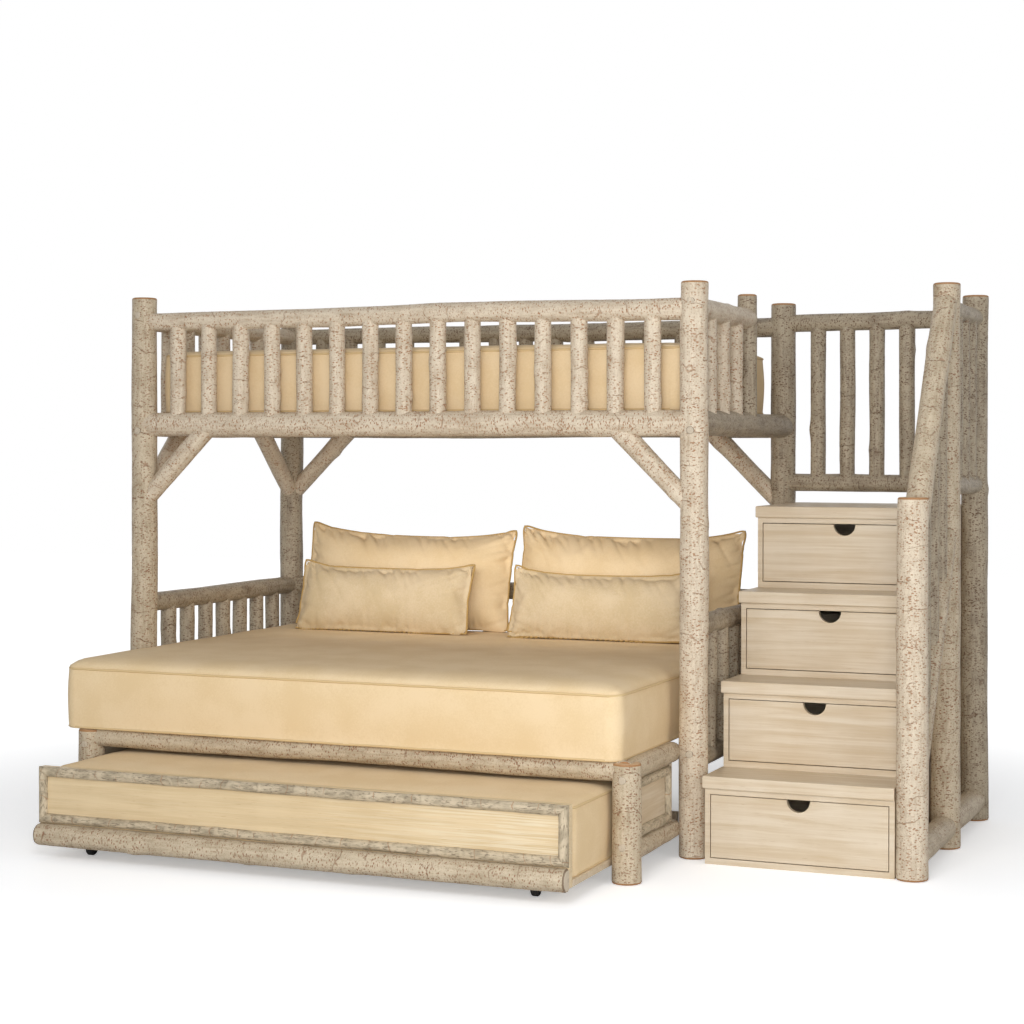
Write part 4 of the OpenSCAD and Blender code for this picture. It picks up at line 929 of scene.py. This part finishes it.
def outline(low, high, inset, corner):
    """Points round a rectangle with round corners, inset from a box."""
    x0, x1 = low.x + inset + corner, high.x - inset - corner
    y0, y1 = low.y + inset + corner, high.y - inset - corner
    points = []
    arc = max(4, int(corner * math.pi / 2 / STEP))
    for x, y, first in ((x1, y1, 0), (x0, y1, 90), (x0, y0, 180), (x1, y0, 270)):
        for k in range(arc + 1):
            a = math.radians(first + 90 * k / arc)
            points.append(Vector((x + corner * math.cos(a), y + corner * math.sin(a), 0)))
    full = []
    for a, b in zip(points, points[1:] + points[:1]):
        parts = max(1, int((b - a).length / STEP))
        full += [a.lerp(b, k / parts) for k in range(parts)]
    return full


def edge_distance(x, y, low, high, corner):
    """Distance from a point inside a rounded rectangle to its outline."""
    dx = min(x - low.x, high.x - x)
    dy = min(y - low.y, high.y - y)
    if dx < corner and dy < corner:
        return corner - math.hypot(corner - dx, corner - dy)
    return min(dx, dy)


def block(low, size, corner):
    """A box with round upright corners and rounded rims, cut into cells. low is its lowest corner."""
    s = bpy.context.scene.bunk_soft
    bm = bmesh.new()
    bmesh.ops.create_cube(bm, size=1)
    bmesh.ops.scale(bm, vec=size, verts=bm.verts)
    bmesh.ops.translate(bm, vec=low + size / 2, verts=bm.verts)
    upright = [e for e in bm.edges if abs(e.verts[0].co.z - e.verts[1].co.z) > size.z / 2]
    rounded(bm, upright, corner, 8)
    rims = [e for e in bm.edges if abs(e.verts[0].co.z - e.verts[1].co.z) < TINY]
    rounded(bm, rims, EDGE)
    for axis, span in enumerate(size):
        count = int(span / (s.cell if axis < 2 else SIDE_CELL))
        normal = Vector((0, 0, 0))
        normal[axis] = 1
        for k in range(1, count):
            point = Vector(low)
            point[axis] = low[axis] + span * k / count
            bmesh.ops.bisect_plane(bm, geom=bm.verts[:] + bm.edges[:] + bm.faces[:], dist=1e-5,
                                   plane_co=point, plane_no=normal)
    return bm


def fill_out(bm, low, high, tall, crown, shift):
    """Fills a block out: its top rises by the crown, and its sides stand out at half height."""
    s = bpy.context.scene.bunk_soft
    for vert in bm.verts:
        x, y, z = vert.co
        share = (z - low.z) / tall
        away = edge_distance(x, y, low, high, s.corner)
        if share > 0.98 and away > 0.002:
            # The top: crown, shallow dimples, puckers near the seam and the seam's own groove
            rise = crown * (1 - math.exp(-away / 0.034))
            dimple = 0.0022 * noise.noise(Vector((x * 5, y * 5, 3)) + shift)
            pucker = 0.0014 * noise.noise(Vector((x * 22, y * 22, 9)) + shift) * math.exp(-away / 0.05)
            seam = -0.003 * math.exp(-((away - 0.012) / 0.008) ** 2)
            vert.co.z = min(z + rise + (dimple + pucker) * min(1, away / 0.03) + seam, high.z)
        if away < 0.02 and 0.02 < share < 0.999:
            # The sides: creases near the seams, and long waves
            dx, dy = min(x - low.x, high.x - x), min(y - low.y, high.y - y)
            facing = Vector((0, 0, 0))
            if dx < s.corner and dx <= dy + 0.02:
                facing.x = math.copysign(1, x - (low.x + high.x) / 2)
            if dy < s.corner and dy <= dx + 0.02:
                facing.y = math.copysign(1, y - (low.y + high.y) / 2)
            if facing.length > 0:
                facing.normalize()
            run = x + y
            inward = s.swell * (1 - math.sin(math.pi * min(max(share, 0), 1)))
            edge = math.exp(-min(share, 1 - share) / 0.16)
            crease = 0.0020 * edge * noise.noise(Vector((run * 26, share * 2, 5)) + shift)
            wave = 0.0020 * noise.noise(Vector((run * 5, share * 2.5, 1)) + shift)
            vert.co -= facing * (inward + crease * 0.6 + abs(wave))


def mattress(name, node, body, crown, seed, press=None, spread=0.0):
    """A boxed mattress with piped seams. press moves points that something pushes in, and spread is
    how far its sides settle outwards over what carries it."""
    s = bpy.context.scene.bunk_soft
    low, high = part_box(node)
    low -= Vector((spread, spread, spread * 0.7))
    high += Vector((spread, spread, 0))
    tall = high.z - low.z - crown
    bm = block(low, Vector((high.x - low.x, high.y - low.y, tall)), s.corner)
    rng = random.Random(seed)
    shift = Vector((rng.uniform(-30, 30), rng.uniform(-30, 30), 0))
    fill_out(bm, low, high, tall, crown, shift)
    ring = outline(low, high, s.swell + 0.001, s.corner - 0.002)
    for height in (low.z + tall - 0.004, low.z + 0.0025):
        path = []
        for p in ring:
            lift = 0.0009 * noise.noise(Vector((p.x * 14, p.y * 14, height * 9)) + shift)
            path.append(Vector((p.x, p.y, height + lift)))
        if press:
            path = [press(p) for p in path]
        tube(bm, path, s.welt)
    if press:
        for vert in bm.verts:
            vert.co = press(vert.co)
    # The piping is darker than the canvas: painted shade along the seams
    piece = finished(name, bm, body, ["canvas", "piping"], [node])


class Mattresses(bpy.types.Operator):
    """Makes the three mattresses with their piped seams"""
    bl_idname = "bunk.mattresses"
    bl_label = "Mattresses"

    def execute(self, context):
        s = context.scene.bunk_soft
        mattress("upper_bunk_mattress", "upper_mattress", "bed_frame", s.crown, 501)
        left = LEFT + GUARD_REACH

        def pressed(point):
            """Behind the left post the low guard presses the mattress in."""
            share = min(max((point.y - FRONT + 0.02) / 0.05, 0), 1)
            limit = point.x + (left - point.x) * share * share * (3 - 2 * share)
            return Vector((max(point.x, limit), point.y, point.z)) if point.x < left else point

        mattress("day_bed_mattress", "lower_mattress", "bed_frame", s.lower_crown, 502, pressed, 0.006)
        mattress("trundle_bed_mattress", "trundle_mattress", "trundle", s.crown, 503)
        return {"FINISHED"}


def folds(u, v, width, height, seed):
    """Depth of the gathers that run in from a pillow's seams, slanting across its top edge."""
    x, z = u * width / 2, v * height / 2
    depth = 0
    for away, along, scale, reach in ((height / 2 - z, x + 0.55 * z, 0.026, 0.075),
                                      (height / 2 + z, x - 0.2 * z, 0.016, 0.045),
                                      (width / 2 - x, z - 0.4 * x, 0.018, 0.060),
                                      (width / 2 + x, z + 0.4 * x, 0.018, 0.060)):
        gather = 1 - min(1, 2.4 * abs(noise.noise(Vector((along * 21, away * 4, seed)))))
        patch = max(0, 0.6 + 1.2 * noise.noise(Vector((along * 6, 5, seed))))
        depth -= scale * gather * gather * patch * math.exp(-away / reach) * min(1, away / 0.012)
    # Broad dents in the middle of the panel
    return depth + 0.010 * noise.noise(Vector((x * 6, z * 6, seed))) * (1 - u * u) * (1 - v * v)


def sewn(u, v, width, height):
    """Where a point of a flat panel lies once its edges draw in between blunt ears."""
    s = bpy.context.scene.bunk_soft
    x, z = abs(u) * width / 2, abs(v) * height / 2
    p, q = x - (width / 2 - s.ear), z - (height / 2 - s.ear)
    if p > 0 and q > 0:
        # A corner square is squeezed into a quarter disc
        x -= p * (1 - math.sqrt(1 - q * q / (2 * s.ear ** 2)))
        z -= q * (1 - math.sqrt(1 - p * p / (2 * s.ear ** 2)))
    x -= 0.4 * s.draw * abs(u) * (1 - abs(v) ** 4)
    z -= s.draw * abs(v) * (1 - abs(u) ** 6) * (1.0 if v > 0 else 0.25)
    return Vector((math.copysign(x, u), 0, math.copysign(z, v)))


def blown_up(bm):
    """Sewn panels after cloth simulation with pressure inside."""
    in_order(bm)
    panels = bpy.data.meshes.new("panels")
    bm.to_mesh(panels)
    bm.free()
    for edge in panels.edges:
        edge.vertices = sorted(edge.vertices)
    holder = bpy.data.objects.new("panels", panels)
    bpy.context.scene.collection.objects.link(holder)
    cloth = holder.modifiers.new("cloth", "CLOTH")
    for key, value in (("quality", 6), ("mass", 0.25), ("tension_stiffness", 25),
                       ("compression_stiffness", 12), ("shear_stiffness", 8),
                       ("bending_stiffness", 0.25), ("use_pressure", True),
                       ("uniform_pressure_force", 5.0), ("shrink_min", -0.05)):
        setattr(cloth.settings, key, value)
    cloth.settings.effector_weights.gravity = 0
    cloth.collision_settings.use_collision = False
    cloth.collision_settings.use_self_collision = False
    for tick in range(1, FRAMES + 1):
        bpy.context.scene.frame_set(tick)
    full = bpy.data.meshes.new_from_object(holder.evaluated_get(bpy.context.evaluated_depsgraph_get()))
    bpy.data.objects.remove(holder)
    bpy.context.scene.frame_set(1)
    bm = bmesh.new()
    bm.from_mesh(full)
    bpy.data.meshes.remove(full)
    bpy.data.meshes.remove(panels)
    return bm


def two_panels(width, height, depth, columns, rows, seed):
    """Two flat panels joined round their rim, each point with its place on the panel from -1 to 1."""
    bm = bmesh.new()
    bmesh.ops.create_grid(bm, x_segments=columns - 1, y_segments=rows - 1, size=0.5)
    bmesh.ops.scale(bm, vec=(width, height, 1), verts=bm.verts)
    bmesh.ops.rotate(bm, cent=(0, 0, 0), matrix=Matrix.Rotation(math.radians(90), 3, "X"), verts=bm.verts)
    bmesh.ops.solidify(bm, geom=bm.faces[:], thickness=PANEL_GAP)
    bmesh.ops.recalc_face_normals(bm, faces=bm.faces)
    rng = random.Random(seed)
    half = (min(v.co.y for v in bm.verts) + max(v.co.y for v in bm.verts)) / 2
    panel = bm.verts.layers.float_vector.new("panel_place")
    # They start a third full
    start = 0.35
    for vert in bm.verts:
        u, v, side = vert.co.x / (width / 2), vert.co.z / (height / 2), 1 if vert.co.y > half else -1
        vert[panel] = (u, v, side)
        full = max((1 - u * u) * (1 - v * v), 0) ** 0.42
        vert.co.y = side * (0.002 + start * depth / 2 * full) + 0.0015 * rng.uniform(-1, 1) * full
    return bm


def in_order(bm):
    """Puts edges and faces into the order of their points, because solidify leaves another order each
    run and a cloth simulation would feel it."""
    bm.verts.index_update()
    count = len(bm.verts)
    for parts in (bm.edges, bm.faces):
        parts.sort(key=lambda part: reduce(lambda rank, k: rank * count + k,
                                           sorted(v.index for v in part.verts)))


def seam_points(bm, columns, rows):
    """Points half-way between the rims of the two panels, in order round the pillow."""
    bm.verts.ensure_lookup_table()
    flat = columns * rows
    loop = list(range(columns))
    loop += [columns * j + columns - 1 for j in range(1, rows)]
    loop += [columns * (rows - 1) + k for k in range(columns - 2, -1, -1)]
    loop += [columns * j for j in range(rows - 2, 0, -1)]
    return [(bm.verts[k].co + bm.verts[k + flat].co) / 2 for k in loop]


def pillow(name, node, width, height, depth, y, lean, sag, slump, key, slot, seed):
    """A knife-edged pillow: two flat panels sewn round, blown up by cloth simulation, set to its size,
    then leant back on the mattress with its top edge sagging between the ears."""
    s = bpy.context.scene.bunk_soft
    low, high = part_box(node)
    columns, rows = int(width / PANEL_CELL) + 1, int(height / PANEL_CELL) + 1
    bm = blown_up(two_panels(width, height, depth, columns, rows, seed))
    ends = [(min(v.co[k] for v in bm.verts), max(v.co[k] for v in bm.verts)) for k in range(3)]
    span = [last - first for first, last in ends]
    centre = [(first + last) / 2 for first, last in ends]
    panel = bm.verts.layers.float_vector["panel_place"]
    for vert in bm.verts:
        u, v, _ = vert[panel]
        blown = Vector(((vert.co.x - centre[0]) * width / span[0], 0,
                        (vert.co.z - centre[2]) * height / span[2]))
        # The outline is the sewn one; the blown panels keep a share of their own creep inside it
        place = sewn(u, v, width, height).lerp(blown, 0.25)
        vert.co = Vector((place.x, (vert.co.y - centre[1]) * depth / span[1], place.z))
    seam = seam_points(bm, columns, rows)
    # A finer mesh carries the gathers
    bmesh.ops.subdivide_edges(bm, edges=bm.edges[:], cuts=1, use_grid_fill=True)
    for _ in range(2):
        bmesh.ops.smooth_vert(bm, verts=bm.verts, factor=0.5, use_axis_x=True, use_axis_y=True,
                              use_axis_z=True)
    bm.normal_update()
    for vert, out in [(vert, vert.normal.copy()) for vert in bm.verts]:
        u, v, _ = vert[panel]
        vert.co += out * folds(u, v, width, height, seed)
    tube(bm, seam, s.pillow_welt)
    turn = Matrix.Rotation(math.radians(-lean), 4, "X")
    stand = Vector(((low.x + high.x) / 2, CORNER.y + y,
                    low.z - s.sink + height / 2 * math.cos(math.radians(lean))))
    for vert in bm.verts:
        u, v = vert.co.x / (width / 2), vert.co.z / (height / 2)
        if v > 0:
            vert.co.z *= 1 - sag * (1 - min(u * u, 1)) - slump * (1 + u) / 2
        vert.co = turn @ vert.co + stand
    # The piping's darker colour is partly its own and partly painted shade along the seam
    piece = finished(name, bm, "bed_frame", [key, "golden"], [node])


class Pillows(bpy.types.Operator):
    """Makes the two large and the two small pillows"""
    bl_idname = "bunk.pillows"
    bl_label = "Pillows"

    def execute(self, context):
        s = context.scene.bunk_soft
        big = (s.big_width, s.big_height, s.big_depth, s.big_y, 14)
        small = (s.small_width, s.small_height, s.small_depth, s.small_y, 18)
        pillow("left_large_pillow", "pillow_large_left", *big, 0.10, 0.10, "canvas", "cloth", 601)
        pillow("right_large_pillow", "pillow_large_right", *big, 0.08, 0.03, "canvas", "cloth", 602)
        pillow("left_small_pillow", "pillow_small_left", *small, 0.06, 0.02, "linen", "pillow_cloth", 603)
        pillow("right_small_pillow", "pillow_small_right", *small, 0.12, 0.0, "linen", "pillow_cloth", 604)
        return {"FINISHED"}


# Stage

class Stage(bpy.types.Operator):
    """Makes the floor, the lights, the background and the camera"""
    bl_idname = "bunk.stage"
    bl_label = "Stage"

    def execute(self, context):
        s = context.scene.bunk_studio
        self.floor()
        self.sky(s.sky)
        for name, place, side in (("key", (2.2, -6.4, 1.3), 1.6), ("fill", (-1.6, -6.0, 1.0), 1.8),
                                  ("front", (1.3, -4.2, 0.9), 1.2), ("high", (0.4, -4.0, 2.6), 1.6),
                                  ("side", (3.8, -2.5, 1.8), 1.6)):
            self.area(name, place, (-0.4, 0.2, 0.8), (side, side), getattr(s, name))
        # A strip behind the bunk's front rail lights the pillows and leaves the mattress below it alone
        self.area("inner", (-1.02, 0.10, 1.02), (-1.02, 0.95, 0.84), (1.5, 0.2), s.inner, 95)
        lens = bpy.data.cameras.new("camera")
        lens.lens = s.focal
        lens.sensor_width = 36
        lens.shift_y = s.shift
        lens.clip_end = 100
        camera = bpy.data.objects.new("camera", lens)
        aim = (Matrix.Rotation(s.turn, 4, "Z") @ Matrix.Rotation(math.radians(90) - s.pitch, 4, "X")
               @ Matrix.Rotation(s.roll, 4, "Z"))
        camera.matrix_world = Matrix.Translation(CORNER + Vector(s.camera_place)) @ aim
        context.scene.collection.objects.link(camera)
        context.scene.camera = camera
        context.scene.view_settings.view_transform = "Standard"
        return {"FINISHED"}

    def floor(self):
        """A white floor that keeps the bed's shadow."""
        bm = bmesh.new()
        bmesh.ops.create_grid(bm, x_segments=8, y_segments=8, size=14)
        mesh = bpy.data.meshes.new("floor")
        bm.to_mesh(mesh)
        bm.free()
        material, put = new_material("Pale painted floor", 0.6)
        # The camera sees the floor's shadows near the bed, and plain white from 1.5 to 3.6 m off
        seen = put("ray")
        far = put("range", put("distance", put("coordinate")), 1.5, 3.6, 0.3, 1.0)
        coated(material, put("mix", seen, (0.8, 0.8, 0.8), (1.5, 1.53, 1.58)))
        nodes = material.node_tree.nodes
        floor_seen = put("blend", put("multiply", seen, far), nodes["Principled BSDF"].outputs[0],
                         put("glow", (1, 1, 1), 1.1))
        material.node_tree.links.new(floor_seen, nodes["Material Output"].inputs["Surface"])
        mesh.materials.append(material)
        floor = bpy.data.objects.new("floor", mesh)
        bpy.context.scene.collection.objects.link(floor)

    def sky(self, strength):
        """Soft light from all round, before a background that looks white."""
        world = bpy.data.worlds.new("studio")
        world.use_nodes = True
        tree = world.node_tree
        tree.nodes.clear()
        put = partial(add, tree)
        rays = put("ray").node.outputs
        seen = put("maximum", rays["Is Camera Ray"], rays["Is Glossy Ray"])
        seen = put("maximum", seen, rays["Is Transmission Ray"])
        soft = put("backdrop", (1, 1, 1), strength)
        output = tree.nodes.new("ShaderNodeOutputWorld")
        tree.links.new(put("blend", seen, soft, put("backdrop", (1, 1, 1), 1.0)), output.inputs["Surface"])
        output.is_active_output = True
        bpy.context.scene.world = world

    def area(self, name, place, target, size, power, spread=180):
        """A rectangular lamp that shines at a target, unseen itself. Both are measured from CORNER."""
        place, target = CORNER + Vector(place), CORNER + Vector(target)
        lamp = bpy.data.lights.new(name, "AREA")
        lamp.shape = "RECTANGLE"
        lamp.size, lamp.size_y = size
        lamp.spread = math.radians(spread)
        lamp.energy = power
        holder = bpy.data.objects.new(name, lamp)
        holder.matrix_world = (Matrix.Translation(place)
                               @ (place - target).to_track_quat("Z", "Y").to_matrix().to_4x4())
        holder.visible_camera = False
        bpy.context.scene.collection.objects.link(holder)


PIECES = (Stage, Boards, Hardware, BunkLogs, DayBedLogs, StepLogs, TrundleLogs, Mattresses, Pillows)
GROUPS = (("bunk_logs", LogLook), ("bunk_sizes", BedSizes), ("bunk_soft", SoftSizes),
          ("bunk_finishes", Finishes), ("bunk_studio", Studio))


class BunkPanel(bpy.types.Panel):
    """Lists the bed's pieces"""
    bl_idname = "VIEW3D_PT_log_bunk_bed"
    bl_label = "Log bunk bed"
    bl_space_type = "VIEW_3D"
    bl_region_type = "UI"
    bl_category = "Bunk bed"

    def draw(self, context):
        for piece in PIECES:
            self.layout.operator(piece.bl_idname)


def register():
    for name, group in GROUPS:
        bpy.utils.register_class(group)
        setattr(bpy.types.Scene, name, PointerProperty(type=group))
    for piece in PIECES:
        bpy.utils.register_class(piece)
    bpy.utils.register_class(BunkPanel)


def unregister():
    bpy.utils.unregister_class(BunkPanel)
    for piece in reversed(PIECES):
        bpy.utils.unregister_class(piece)
    for name, group in reversed(GROUPS):
        delattr(bpy.types.Scene, name)
        bpy.utils.unregister_class(group)


def main():
    register()
    for piece in PIECES:
        family, action = piece.bl_idname.split(".")
        getattr(getattr(bpy.ops, family), action)()


if __name__ == "__main__":
    main()
